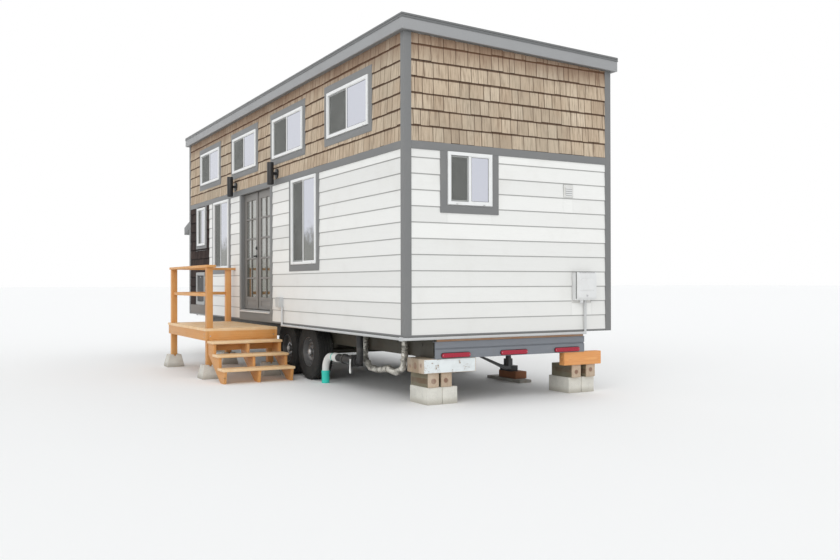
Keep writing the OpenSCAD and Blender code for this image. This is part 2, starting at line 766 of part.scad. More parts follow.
// Oval marker lights on the rear beam
module marker_lights() placed() color("crimson")
    for (y = [-800, 0, 790])
        translate([house_l / 2 - 30, y, frame_z + 37]) rotate([0, 90, 0]) linear_extrude(20) {
            translate([-25, -165]) square([50, 330]);
            for (s = [-165, 165])
                translate([0, s]) circle(r = 25);
        }

// Drain: a stub out of the ground, a long elbow and a run to the valve under the floor
module drain_pipe() translate([drain_x, -rail_y - drain_out, 0]) {
    z = drain_z;
    cylinder(r = 54, h = z - drain_bend - 15);
    translate([0, 0, 1]) cylinder(r = 46, h = z - drain_bend - 1);
    translate([drain_bend, 0, z - drain_bend]) rotate([90, 0, 0])
        rotate_extrude(angle = 90, start = 90) translate([drain_bend, 0]) circle(r = 46);
    translate([drain_bend, 0, z]) rotate([0, 90, 0]) cylinder(r = 46, h = 440);
    translate([drain_bend + 92, 0, z]) rotate([0, 90, 0]) cylinder(r = 56, h = 30);
    translate([drain_bend + 118, 0, z]) rotate([0, 90, 0]) cylinder(r = 60, h = 112);
    translate([drain_bend + 430, 0, z]) rotate([0, 90, 0]) cylinder(r = 66, h = 430);
    box([drain_bend + 800, -84, z - 70], [drain_bend + 830, 84, z + 84]);
    box([drain_bend + 803, -104, z - 150], [drain_bend + 827, -80, z + 30]);
    translate([drain_bend + 900, 0, z - 46]) cylinder(r = 46, h = wall_z - z + 46);
    translate([drain_bend + 850, 0, z]) rotate([0, 90, 0]) cylinder(r = 42, h = 50);
}

// Supply pipe, wrapped in foil, that drops from the floor, runs under the frame and goes up again
module supply_pipe() translate([crib_x, -rail_y - supply_out, 0]) {
    z = 300;
    x0 = -1275;
    x1 = -200;
    translate([x0, 0, z - supply_r]) cylinder(r = supply_r, h = wall_z - z + supply_r);
    translate([x0, 0, z]) rotate([0, 90, 0]) cylinder(r = supply_r, h = x1 - x0);
    translate([x1, 0, z]) cylinder(r = supply_r, h = wall_z - z);
}

module floor_pipes() placed() color("white") {
    drain_pipe();
    supply_pipe();
}

// Conduit along the foot of the walls, from the receptacle round the corner to the power box
module conduit() placed() color("gainsboro") {
    r = 16;
    z = wall_z - r;
    y = -house_w / 2 - r;
    x = house_l / 2 + r;
    translate([inlet_x, y, z]) rotate([0, 90, 0]) cylinder(r = r, h = x - inlet_x - 40);
    translate([x, y + 40, z]) rotate([-90, 0, 0]) cylinder(r = r, h = box_y + 35 - y - 40);
    translate([x - 40, y + 40, z]) rotate_extrude(angle = 90, start = 270) translate([40, 0]) circle(r = r);
    translate([x - 90, y, z]) rotate([0, 90, 0]) cylinder(r = r + 7, h = 50);
    translate([inlet_x, y, z - r]) cylinder(r = r, h = inlet_z + 10 - z + r);
    translate([inlet_x, y, z]) rotate([0, -90, 0]) cylinder(r = r, h = 16);
    box([inlet_x - 196, -wy - 62, inlet_z], [inlet_x - 16, -wy, inlet_z + 150]);
    translate([x, box_y + 35, z - r]) cylinder(r = r, h = box_z - z + r);
}

// Cribs: concrete blocks and timbers under the rear corners and under the back rail
module block(w, d, h) difference() {
    cube([w, d, h]);
    for (i = [0, 1])
        translate([30 + i * (w - 30) / 2, 32, -1]) cube([(w - 90) / 2, d - 64, h + 2]);
}

module crib_blocks() placed() color("lightgray") {
    for (y = [-rail_y - 92, 108 - rail_y])
        translate([crib_x, y, 0]) block(397, 195, block_h);
    for (y = [rail_y - 155, rail_y + 50])
        translate([crib_x - 40, y, 0]) block(397, 195, block_h);
    for (y = [-rail_y - 92, 108 - rail_y, rail_y - 155, rail_y + 50])
        translate([tongue_x + 40, y, 0]) block(397, 195, block_h);
    box([support_x - 200, rail_y - 10, 40], [support_x + 200, rail_y + 180, 140]);
}

module crib_timbers() placed() color("burlywood") {
    h = (frame_z - block_h) / 2;
    rows = [-rail_y - 85, 85 - rail_y, rail_y - 145, rail_y + 80];
    for (x = [crib_x + 10, tongue_x + 50], y = rows)
        box([x, y, block_h], [x + 400, y + 140, block_h + h]);
    box([crib_x + 60, -rail_y - 160, block_h + h], [crib_x + 440, 530 - rail_y, frame_z]);
    box([crib_x + 340, rail_y - 290, block_h + h], [crib_x + 440, rail_y + 290, frame_z]);
    for (s = [-1, 1])
        sided(s) box([tongue_x + 60, rail_y - 350, block_h + h], [tongue_x + 410, rail_y + 230, frame_z]);
    box([support_x - 450, rail_y - 40, 0], [support_x + 350, rail_y + 150, 40]);
}

// A jack on the block under the back rail, and a stabiliser's folded leg behind the rear beam
module support_jack() placed() color("black") {
    translate([support_x, rail_y - 30, 0]) {
        box([-130, -10, 140], [130, 110, 220]);
        translate([0, 40, 220]) cylinder(r = 62, h = 90);
        translate([0, 40, 310]) cylinder(r = 36, h = frame_z - 320);
        box([-70, -20, frame_z - 10], [70, 90, frame_z]);
    }
    translate([house_l / 2 - 160, 0, frame_z]) difference() {
        along_x(0, 60) polygon([[-475, 20], [12, 20], [12, -170], [-60, -170]]);
        along_x(-1, 61) polygon([[-370, -8], [-25, -8], [-25, -132], [-58, -132]]);
    }
}

// Porch: a rim and joists on posts that stand on notched piers
post_x = [deck_x[0] + 25 + post_w / 2, deck_x[1] - 55 - post_w / 2];
post_y = [post_y0, deck_y1 - plank_t - post_w / 2];

module porch_frame() placed() color("peru") difference() {
    union() {
        z0 = rim_z - rim_h;
        for (y = [deck_y0, deck_y1 - plank_t])
            box([deck_x[0], y, z0], [deck_x[1], y + plank_t, rim_z]);
        for (x = [deck_x[0], deck_x[1] - plank_t])
            box([x, deck_y0 + plank_t, z0], [x + plank_t, deck_y1 - plank_t, rim_z]);
        bays = 5;
        for (i = [1 : bays - 1])
            translate([deck_x[0] + i * (deck_x[1] - deck_x[0]) / bays, 0, 0])
                box([-plank_t / 2, deck_y0 + plank_t, z0], [plank_t / 2, deck_y1 - plank_t, rim_z]);
        box([deck_x[1] - plank_t, deck_y0 + plank_t, z0 - rim_h], [deck_x[1], deck_y1 - plank_t, z0]);
    }
    all_posts(0);
}

// The two outer posts and the far one at the wall carry the rails, the near one at the wall is a leg
module all_posts(grow) {
    h = cap_z - plank_t - pier_h + notch_d;
    for (x = post_x, y = post_y)
        translate([x, y, pier_h - notch_d]) translate([-post_w / 2 - grow, -post_w / 2 - grow, 0])
            cube([post_w + 2 * grow, post_w + 2 * grow, x > 0 && y > post_y0 ? rim_z - pier_h + notch_d : h]);
}

module porch_posts() placed() color("sandybrown") all_posts(0);

module porch_decking() placed() color("burlywood") difference() {
    count = floor((deck_x[1] - deck_x[0] + 4) / 144);
    pitch = (deck_x[1] - deck_x[0] + 4) / count;
    for (i = [0 : count - 1])
        box([deck_x[0] + i * pitch, deck_y0 - 12, rim_z], [deck_x[0] + (i + 1) * pitch - 4, deck_y1, deck_z]);
    all_posts(1);
}

module porch_rails() placed() color("sandybrown") {
    z = cap_z - plank_t;
    box([deck_x[0], deck_y0 + 10, z], [deck_x[1] - 20, deck_y0 + 150, cap_z]);
    box([deck_x[0], deck_y0 + 151, z], [deck_x[0] + 140, -wy, cap_z]);
    box([post_x[0] + post_w / 2, post_y0 - 19, mid_z - 50], [post_x[1] - post_w / 2, post_y0 + 19, mid_z]);
    box([post_x[0] - 19, post_y0 + post_w / 2, mid_z - 50], [post_x[0] + 19, post_y[1] - post_w / 2, mid_z]);
}

// A pier: a square frustum, notched on top for the post
module pier() difference() {
    intersection() {
        rotate([90, 0, 0]) linear_extrude(pier_w, center = true) pier_side();
        rotate([90, 0, 90]) linear_extrude(pier_w, center = true) pier_side();
    }
    translate([-post_w / 2, -post_w / 2, pier_h - notch_d]) cube([post_w, post_w, notch_d + 1]);
    for (a = [0, 90])
        rotate([0, 0, a]) box([-pier_w, -20, pier_h - notch_d / 2], [pier_w, 20, pier_h + 1]);
}

module pier_side() polygon([[-pier_w / 2, 0], [pier_w / 2, 0], [pier_w / 2, 30], [pier_w * 0.36, pier_h],
    [-pier_w * 0.36, pier_h], [-pier_w / 2, 30]]);

module porch_piers() placed() color("lightgray")
    for (x = post_x, y = post_y)
        translate([x, y, 0]) pier();

// Stairs: sawtooth stringers under three treads
function tread_z(i) = deck_z - i * rise;
function nose_x(i) = deck_x[1] + tread_gap + tread_d + (i - 1) * going;

module stair_stringers() placed() color("peru") {
    x0 = deck_x[1];
    t = plank_t;
    points = [for (i = [1 : steps]) each [[i == 1 ? x0 : nose_x(i - 1) - 25, tread_z(i) - t],
        [nose_x(i) - 25, tread_z(i) - t]]];
    for (y = [deck_y0 + 30, (deck_y0 + deck_y1) / 2 - t / 2, deck_y1 - 40 - t])
        along_y(y, y + t) polygon(concat(points, [[nose_x(steps) - 60, 0], [nose_x(steps) - 210, 0],
            [x0, rim_z - rim_h - 190]]));
}

module stair_treads() placed() color("burlywood")
    for (i = [1 : steps])
        box([nose_x(i) - tread_d, deck_y0 + 5, tread_z(i) - plank_t], [nose_x(i), deck_y1 - 25, tread_z(i)]);

// Closet on the tongue, under its own sloping roof
function closet_top(x) = closet_z - closet_fall * (-house_l / 2 - x) / (closet_d + 2 * eave);
module closet() placed() color("whitesmoke") along_y(-closet_w / 2, closet_w / 2)
    polygon([[-wx, rail_z], [-house_l / 2 - closet_d, rail_z],
        [-house_l / 2 - closet_d, closet_top(-house_l / 2 - closet_d) - closet_t - slope_gap],
        [-wx, closet_top(-wx) - closet_t - slope_gap]]);

module closet_roof() placed() color("dimgray") {
    x0 = -house_l / 2 - closet_d - 2 * eave;
    y = closet_w / 2 + 3.7 * eave;
    along_y(-y, y) polygon([[x0, closet_top(x0)], [-wx - board_t, closet_top(-wx - board_t)],
        [-wx - board_t, closet_top(-wx - board_t) - closet_t], [x0, closet_top(x0) - closet_t]]);
}

rail_front();
rail_back();
crossmembers();
rear_beam();
tongue_rails();
coupler();
tongue_jack();
axles();
leaf_springs();
tyre_front_a();
tyre_front_b();
tyre_back_a();
tyre_back_b();
rim_front_a();
rim_front_b();
rim_back_a();
rim_back_b();
floor_frame();
floor_deck();
front_wall_left();
front_wall_right();
front_wall_at_door();
back_wall();
rear_end_wall();
tongue_end_wall();
roof_deck();
roof_covering();
fascia();
corner_boards();
wall_bands();
window_trim();
window_frames();
window_glass();
door_jambs();
door_casing();
door_sill();
door_leaf_left();
door_leaf_right();
door_glass_left();
door_glass_right();
door_lever();
sconces();
utility_hatch();
power_box();
vent();
marker_lights();
conduit();
floor_pipes();
crib_blocks();
crib_timbers();
support_jack();
porch_frame();
porch_posts();
porch_decking();
porch_rails();
porch_piers();
stair_stringers();
stair_treads();
closet();
closet_roof();
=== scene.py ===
"""Looks of the tiny house on wheels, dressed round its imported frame.

Every piece sits in the frame's own metres: +X runs along the house to the trailer's rear end, the porch
is on the -Y side, and Z = 0 is the ground. Sizes come from the CAD nodes' boxes wherever a piece meets them.
"""

from __future__ import annotations

import json
import logging
import math
import random
import sys
from collections.abc import Callable, Iterable, Sequence
from dataclasses import dataclass, replace
from enum import Enum

import bmesh
import bpy
from mathutils import Matrix, Vector


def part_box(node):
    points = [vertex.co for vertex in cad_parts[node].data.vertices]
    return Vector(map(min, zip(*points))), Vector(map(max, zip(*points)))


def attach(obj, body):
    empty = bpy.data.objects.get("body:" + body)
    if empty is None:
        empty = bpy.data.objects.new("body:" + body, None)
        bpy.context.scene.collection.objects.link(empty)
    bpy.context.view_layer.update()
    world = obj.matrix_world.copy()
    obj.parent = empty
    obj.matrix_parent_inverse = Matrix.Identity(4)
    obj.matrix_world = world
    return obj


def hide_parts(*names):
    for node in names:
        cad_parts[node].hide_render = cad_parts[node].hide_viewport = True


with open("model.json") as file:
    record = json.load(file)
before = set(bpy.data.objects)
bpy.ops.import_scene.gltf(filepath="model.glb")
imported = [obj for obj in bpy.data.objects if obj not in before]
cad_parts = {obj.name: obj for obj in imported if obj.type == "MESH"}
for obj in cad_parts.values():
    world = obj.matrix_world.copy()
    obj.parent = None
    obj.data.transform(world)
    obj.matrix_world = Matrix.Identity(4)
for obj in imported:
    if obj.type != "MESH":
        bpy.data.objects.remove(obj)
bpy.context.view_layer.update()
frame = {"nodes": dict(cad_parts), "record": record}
log = logging.getLogger("tiny_house")

RGB = tuple[float, float, float]
Point = tuple[float, float, float]
Span = tuple[float, float, float, float]
Shape = bmesh.types.BMesh
Vertex = bmesh.types.BMVert
Piece = bpy.types.Object
Material = bpy.types.Material


# Shader maths


class Sock:
    """An output socket that does arithmetic by adding Math nodes to its tree."""

    def __init__(self, tree: Tree, socket: bpy.types.NodeSocket) -> None:
        """Wrap a socket of a tree's node."""
        self.tree = tree
        self.socket = socket

    def _math(self, operation: str, *values: object) -> Sock:
        """Add a Math node and return its result."""
        return self.tree.add("ShaderNodeMath", {"operation": operation}, dict(enumerate(values)))

    def __add__(self, other: object) -> Sock:
        """Add a value."""
        return self._math("ADD", self, other)

    __radd__ = __add__

    def __mul__(self, other: object) -> Sock:
        """Multiply by a value."""
        return self._math("MULTIPLY", self, other)

    __rmul__ = __mul__

    def __sub__(self, other: object) -> Sock:
        """Take a value away."""
        return self._math("SUBTRACT", self, other)

    def __rsub__(self, other: object) -> Sock:
        """Take this from a value."""
        return self._math("SUBTRACT", other, self)

    def over(self, other: object) -> Sock:
        """Return 1 where this is greater than a value, else 0."""
        return self._math("GREATER_THAN", self, other)

    def size(self) -> Sock:
        """Return the value without its sign."""
        return self._math("ABSOLUTE", self)

    def fract(self) -> Sock:
        """Return the fractional part."""
        return self._math("FRACT", self)

    def band(self, low: float, high: float) -> Sock:
        """Ramp smoothly from 0 at low to 1 at high."""
        given = {0: self, 1: low, 2: high, 3: 0.0, 4: 1.0}
        return self.tree.add("ShaderNodeMapRange", {"interpolation_type": "SMOOTHSTEP"}, given)


class Tree:
    """The node tree of one material, which ends in a Principled shader."""

    def __init__(self, name: str) -> None:
        """Start an empty material.

        Args:
            name: The material's name.
        """
        self.material = bpy.data.materials.new(name)
        self.material.use_nodes = True
        self._take(self.material.node_tree)
        self.nodes.clear()

    def _take(self, group: bpy.types.NodeTree) -> None:
        """Work on a node tree."""
        self.nodes, self.links = group.nodes, group.links

    def add(
        self, kind: str, settings: dict | None = None, inputs: dict | None = None, out: int | str = 0
    ) -> Sock:
        """Add a node, its settings first and then the values or links of its sockets.

        Args:
            kind: The node's type.
            settings: Its properties, or a ramp's stops under the name "stops".
            inputs: Values or sockets, by the input's name or number.
            out: The output that is wanted.

        Returns:
            The output, wrapped.
        """
        node = self.nodes.new(kind)
        for key, value in (settings or {}).items():
            if key == "stops":
                self._stops(node.color_ramp, value)
            else:
                setattr(node, key, value)
        for key, value in (inputs or {}).items():
            if isinstance(value, Sock):
                self.links.new(value.socket, node.inputs[key])
            elif isinstance(value, tuple) and len(value) == 3 and node.inputs[key].type == "RGBA":
                node.inputs[key].default_value = (*value, 1.0)
            else:
                node.inputs[key].default_value = value
        return Sock(self, node.outputs[out])

    @staticmethod
    def _stops(ramp: bpy.types.ColorRamp, stops: Sequence[tuple[float, RGB]]) -> None:
        """Set a colour ramp's stops.

        Args:
            ramp: The ramp.
            stops: The place and colour of each stop.
        """
        while len(ramp.elements) < len(stops):
            ramp.elements.new(0.5)
        for element, (place, colour) in zip(ramp.elements, stops):
            element.position = place
            element.color = (*colour, 1.0)

    def place(self) -> Sock:
        """Return the Object coordinates."""
        return self.add("ShaderNodeTexCoord", out="Object")

    def attribute(self, name: str, out: str = "Fac") -> Sock:
        """Return an attribute of the piece: its factor, or its vector."""
        return self.add("ShaderNodeAttribute", {"attribute_name": name}, out=out)

    def stretch(self, vector: Sock, scale: Point) -> Sock:
        """Scale a vector along its own axes."""
        return self.add("ShaderNodeMapping", inputs={0: vector, "Scale": scale})

    def axis(self, vector: Sock, name: str) -> Sock:
        """Return one component of a vector, X, Y or Z."""
        return self.add("ShaderNodeSeparateXYZ", inputs={0: vector}, out=name)

    def length(self, vector: Sock) -> Sock:
        """Return a vector's length."""
        return self.add("ShaderNodeVectorMath", {"operation": "LENGTH"}, {0: vector}, "Value")

    def noise(
        self, vector: Sock, scale: float, detail: float = 3.0, rough: float = 0.55, warp: float = 0.0
    ) -> Sock:
        """Add noise from 0 to 1.

        Args:
            vector: Where it is read.
            scale: Its cycles a metre.
            detail: Number of its finer layers.
            rough: Share of each finer layer.
            warp: How far it is bent by itself.

        Returns:
            The noise.
        """
        given = {"Vector": vector, "Scale": scale, "Detail": detail, "Roughness": rough, "Distortion": warp}
        return self.add("ShaderNodeTexNoise", inputs=given)

    def cells(self, vector: Sock, scale: float, feature: str = "F1") -> Sock:
        """Return the distance to the nearest cell's middle or edge."""
        given = {"Vector": vector, "Scale": scale}
        return self.add("ShaderNodeTexVoronoi", {"feature": feature}, given, "Distance")

    def mix(self, factor: object, first: object, second: object) -> Sock:
        """Mix two colours by a factor."""
        return self.add("ShaderNodeMix", {"data_type": "RGBA"}, {0: factor, 6: first, 7: second}, 2)

    def ramp(self, factor: Sock, *stops: tuple[float, RGB]) -> Sock:
        """Colour a factor by a ramp's stops."""
        return self.add("ShaderNodeValToRGB", {"stops": stops}, {0: factor})

    def bump(self, height: Sock, distance: float, strength: float = 1.0) -> Sock:
        """Turn a height into a normal, with its full height in metres."""
        given = {"Height": height, "Distance": distance, "Strength": strength}
        return self.add("ShaderNodeBump", inputs=given)

    def finish(self, **inputs: object) -> Material:
        """End the tree in a Principled shader.

        Args:
            inputs: Values or sockets of its inputs, with _ for each space in a name.

        Returns:
            The material.
        """
        given = {key.replace("_", " "): value for key, value in inputs.items()}
        shader = self.add("ShaderNodeBsdfPrincipled", inputs=given)
        output = self.nodes.new("ShaderNodeOutputMaterial")
        self.links.new(shader.socket, output.inputs["Surface"])
        return self.material


# Finishes


def scaled(colour: RGB, share: float) -> RGB:
    """Return a colour made darker or paler by a share."""
    return tuple(part * share for part in colour)


def lap_shade(tree: Tree, lap: float, width: float) -> Sock:
    """Mask the painted shadow under each butt and the painted shade on the butt itself.

    Args:
        tree: The material's tree; its piece carries each course's height as the attribute rise.
        lap: Height at which the next course's butt starts.
        width: Height of the strip of painted shadow under it.

    Returns:
        The mask, 1 where the painted shadow and shade are.
    """
    rise = tree.attribute("rise")
    # Painted shadow just under the next butt, plus painted shade on the butt's own face.
    under = rise.band(lap - width - 0.004, lap - width + 0.002)
    return under + (1.0 - rise.band(0.0, 0.003))


@dataclass(frozen=True)
class Finish:
    """A finish of the house."""

    name: str  # the material's name


@dataclass(frozen=True)
class Paint(Finish):
    """House paint on boards: faint brush and grain lines along the board, dust low down, a little dirt, and
    painted shadow under each butt where boards lap.
    """

    colour: RGB  # the paint's colour
    dirt: RGB = (0.42, 0.38, 0.32)  # the colour that it is soiled to
    soil: float = 0.35  # how strongly it is soiled
    gloss: float = 0.55  # its mean roughness
    grain: float = 0.0004  # depth of the grain under the paint, in metres
    lap: float = 0.0  # height at which the next board's butt starts, with painted shadow just under it, or 0 for none

    def build(self) -> Material:
        """Build the material.

        Returns:
            The material.
        """
        tree = Tree(self.name)
        grain = tree.attribute("grain", "Vector")
        lines = tree.noise(tree.stretch(grain, (2.0, 90.0, 90.0)), 3.0, 4.0, 0.6, 0.3)
        patches = tree.noise(tree.place(), 1.7, 4.0, 0.6)
        specks = tree.noise(tree.place(), 60.0, 2.0)
        tone = tree.attribute("tone")
        shade = tree.mix(tone, self.colour, scaled(self.colour, 0.90))
        height = tree.axis(tree.place(), "Z")
        low = 1.0 - height.band(0.75, 1.5)
        soiled = patches.band(0.50, 0.78) * 0.6 + specks.band(0.62, 0.80) * 0.35 + low * patches * 0.6
        colour = tree.mix(soiled * self.soil, shade, self.dirt)
        colour = tree.mix(lines.band(0.35, 0.75) * 0.07, colour, scaled(self.colour, 0.6))
        if self.lap:
            # Painted shadow under the next board's butt and painted shade on the butt itself.
            colour = tree.mix(lap_shade(tree, self.lap, 0.010) * 0.7, colour, scaled(self.colour, 0.3))
        return tree.finish(
            Base_Color=colour,
            Roughness=patches * 0.2 + (self.gloss - 0.1),
            Normal=tree.bump(lines, self.grain, 0.7),
        )


@dataclass(frozen=True)
class Timber(Finish):
    """Sawn timber: growth rings round a heart line, fibres and knots along it, weathered in patches."""

    pale: RGB  # colour of the early wood
    dark: RGB  # colour of the late wood
    worn: RGB  # colour that it weathers to
    wear: float = 0.25  # how far it is weathered, from 0 to 1
    gloss: float = 0.6  # its mean roughness
    spread: float = 0.35  # how much one board differs from the next
    heart: RGB = (0.42, 0.17, 0.08)  # colour of the wood round the heart line

    def build(self) -> Material:
        """Build the material.

        Returns:
            The material.
        """
        tree = Tree(self.name)
        grain = tree.attribute("grain", "Vector")
        tone = tree.attribute("tone")
        bend = tree.noise(tree.stretch(grain, (1.1, 4.0, 4.0)), 1.4, 2.0, 0.5, 0.4)
        reach = tree.length(tree.stretch(grain, (0.0, 1.0, 1.0))) + (bend - 0.5) * 0.045
        rings = (reach * 150.0).fract()
        rings = rings.band(0.0, 0.6) * (1.0 - rings.band(0.75, 1.0))
        fibres = tree.noise(tree.stretch(grain, (4.0, 160.0, 160.0)), 2.5, 4.0, 0.65)
        streaks = tree.noise(tree.stretch(grain, (0.7, 22.0, 22.0)), 2.0, 3.0, 0.6)
        knots = tree.cells(tree.stretch(grain, (1.0, 4.0, 4.0)), 1.6)
        knot = 1.0 - knots.band(0.045, 0.11)
        grime = tree.noise(tree.place(), 3.1, 4.0, 0.62)
        colour = tree.mix(rings * 0.55 + streaks.band(0.4, 0.75) * 0.4, self.pale, self.dark)
        colour = tree.mix(0.9 - reach.band(0.022, 0.037) * 0.9, colour, self.heart)
        colour = tree.mix(fibres.band(0.35, 0.8) * 0.4, colour, self.dark)
        colour = tree.mix(tone * self.spread, colour, scaled(self.dark, 0.55))
        colour = tree.mix(knot * 0.8, colour, scaled(self.dark, 0.3))
        colour = tree.mix(grime.band(0.42, 0.72) * self.wear, colour, self.worn)
        return tree.finish(
            Base_Color=colour,
            Roughness=fibres * 0.25 + (self.gloss - 0.1),
            Normal=tree.bump(fibres + rings * 0.5, 0.0006, 0.8),
        )


@dataclass(frozen=True)
class Shingle(Finish):
    """Split cedar: each shingle has its own tone, with fine fibres down it, painted shade in its keyways and
    under its butts, and a darker band under the eaves that is partly painted shade.
    """

    tones: tuple[RGB, ...]  # colours from the palest shingle to the darkest
    streak: RGB  # colour of the weathered fibres
    dark_tone: RGB  # colour of the painted shade in the keyways and under the butts, and, made lighter, of the band under the eaves
    weather: RGB  # colour that patches of it have weathered to
    lap: float  # height at which the next course's butt starts
    eaves: float = 0.0  # height of the roof's underside at Y = 0, or 0 for no darker band under it
    fall: float = 0.0  # how far that underside drops for each metre along Y

    def build(self) -> Material:
        """Build the material.

        Returns:
            The material.
        """
        tree = Tree(self.name)
        tone = tree.attribute("tone")
        grain = tree.attribute("grain", "Vector")
        fibres = tree.noise(tree.stretch(grain, (2.0, 120.0, 120.0)), 1.6, 5.0, 0.7, 0.2)
        streaks = tree.noise(tree.stretch(grain, (1.3, 26.0, 26.0)), 2.0, 3.0, 0.6, 0.1)
        blotch = tree.noise(tree.place(), 1.9, 4.0, 0.6)
        steps = [(i / (len(self.tones) - 1), c) for i, c in enumerate(self.tones)]
        colour = tree.ramp(tone * 0.5 + blotch - 0.25, *steps)
        colour = tree.mix(streaks.band(0.44, 0.70) * 0.6 + fibres.band(0.45, 0.8) * 0.35, colour, self.streak)
        weathered = tree.noise(tree.place(), 0.8, 5.0, 0.65).band(0.44, 0.62)
        colour = tree.mix(weathered * 0.35, colour, self.weather)
        # Painted shade in the keyways: each shingle darkens within a few millimetres of its sides.
        edge = tree.attribute("half") - tree.attribute("across").size()
        colour = tree.mix((1.0 - edge.band(0.0, 0.006)) * 0.6, colour, self.dark_tone)
        # Painted shadow under each butt and painted shade on the butt face.
        colour = tree.mix(lap_shade(tree, self.lap, 0.017) * 0.85, colour, self.dark_tone)
        if self.eaves:
            # A darker, redder band under the eaves: partly the shingles' own less weathered colour, partly
            # painted shade.
            place = tree.place()
            below = self.eaves - tree.axis(place, "Y") * self.fall - tree.axis(place, "Z")
            shade = (1.0 - below.band(0.02, 0.34)) * (blotch * 0.5 + 0.35)
            colour = tree.mix(shade, colour, scaled(self.dark_tone, 2.1))
        return tree.finish(
            Base_Color=colour,
            Roughness=fibres * 0.15 + 0.78,
            Specular_IOR_Level=0.15,
            Normal=tree.bump(fibres + streaks, 0.0014, 1.0),
        )


@dataclass(frozen=True)
class Peeling(Finish):
    """Old paint that flakes off a sawn timber in patches, most at its edges."""

    colour: RGB  # what is left of the paint
    bare: RGB  # colour of the timber under it
    bald: float = 0.55  # level of the noise above which the timber is bare

    def build(self) -> Material:
        """Build the material.

        Returns:
            The material.
        """
        tree = Tree(self.name)
        place = tree.place()
        flakes = tree.noise(place, 7.0, 6.0, 0.7, 0.6)
        grain = tree.attribute("grain", "Vector")
        fibres = tree.noise(tree.stretch(grain, (4.0, 120.0, 120.0)), 2.0, 4.0, 0.65)
        bald = (flakes * 0.8 + fibres * 0.2).band(self.bald, self.bald + 0.05)
        wood = tree.mix(fibres.band(0.35, 0.7), self.bare, scaled(self.bare, 0.45))
        paint = tree.mix(flakes.band(0.35, 0.6) * 0.35, self.colour, scaled(self.colour, 0.75))
        return tree.finish(
            Base_Color=tree.mix(bald, paint, wood),
            Roughness=bald * 0.3 + 0.55,
            Normal=tree.bump(1.0 - bald + fibres * 0.3, 0.0012, 1.0),
        )


@dataclass(frozen=True)
class Metal(Finish):
    """Painted or bare metal: mottled gloss, rust or dirt in patches."""

    colour: RGB  # its colour
    metallic: float = 0.0  # 0 for paint, 1 for bare metal
    gloss: float = 0.45  # its mean roughness
    rust: RGB = (0.20, 0.10, 0.05)  # colour of the rust or dirt
    amount: float = 0.25  # how much of it there is
    onset: float = 0.52  # level of the noise at which its patches start

    def build(self) -> Material:
        """Build the material.

        Returns:
            The material.
        """
        tree = Tree(self.name)
        place = tree.place()
        mottle = tree.noise(place, 14.0, 5.0, 0.65)
        patch = tree.noise(place, 3.3, 5.0, 0.7, 0.5)
        mask = (patch * 0.6 + mottle * 0.4).band(self.onset, self.onset + 0.18) * self.amount
        colour = tree.mix(mottle * 0.25, self.colour, scaled(self.colour, 0.7))
        return tree.finish(
            Base_Color=tree.mix(mask, colour, self.rust),
            Metallic=self.metallic * (1.0 - mask) if self.metallic else 0.0,
            Roughness=mottle * 0.2 + mask * 0.3 + (self.gloss - 0.1),
            Normal=tree.bump(mottle, 0.0004, 0.6),
        )


@dataclass(frozen=True)
class Plastic(Finish):
    """Moulded plastic or rubber: even colour with a fine texture, dulled and dusty in patches."""

    colour: RGB  # its colour
    gloss: float = 0.4  # its mean roughness
    dust: RGB = (0.45, 0.42, 0.37)  # colour of the dust on it
    amount: float = 0.15  # how much dust there is
    texture: float = 0.0002  # depth of the moulded texture, in metres

    def build(self) -> Material:
        """Build the material.

        Returns:
            The material.
        """
        tree = Tree(self.name)
        place = tree.place()
        fine = tree.noise(place, 320.0, 2.0)
        patch = tree.noise(place, 5.0, 4.0, 0.65)
        mask = patch.band(0.45, 0.75) * self.amount
        colour = tree.mix(mask, self.colour, self.dust)
        return tree.finish(
            Base_Color=tree.mix(fine * 0.12, colour, scaled(self.colour, 0.8)),
            Roughness=patch * 0.25 + (self.gloss - 0.1),
            Normal=tree.bump(fine, self.texture, 0.5),
        )


@dataclass(frozen=True)
class Concrete(Finish):
    """Cast concrete: pitted, mottled, stained from the ground up."""

    colour: RGB  # its colour
    dark_tone: RGB  # colour of damp and soil

    def build(self) -> Material:
        """Build the material.

        Returns:
            The material.
        """
        tree = Tree(self.name)
        place = tree.place()
        mottle = tree.noise(place, 9.0, 5.0, 0.65)
        grit = tree.noise(place, 140.0, 3.0, 0.6)
        pits = 1.0 - tree.cells(place, 70.0).band(0.05, 0.22)
        low = 1.0 - tree.axis(place, "Z").band(0.0, 0.09)
        colour = tree.mix(mottle.band(0.35, 0.75) * 0.5, self.colour, scaled(self.colour, 0.72))
        colour = tree.mix(low * 0.6 + pits * 0.35, colour, self.dark_tone)
        return tree.finish(
            Base_Color=tree.mix(grit.band(0.5, 0.75) * 0.3, colour, self.dark_tone),
            Roughness=grit * 0.1 + 0.82,
            Normal=tree.bump(grit - pits * 0.8, 0.0018, 0.9),
        )


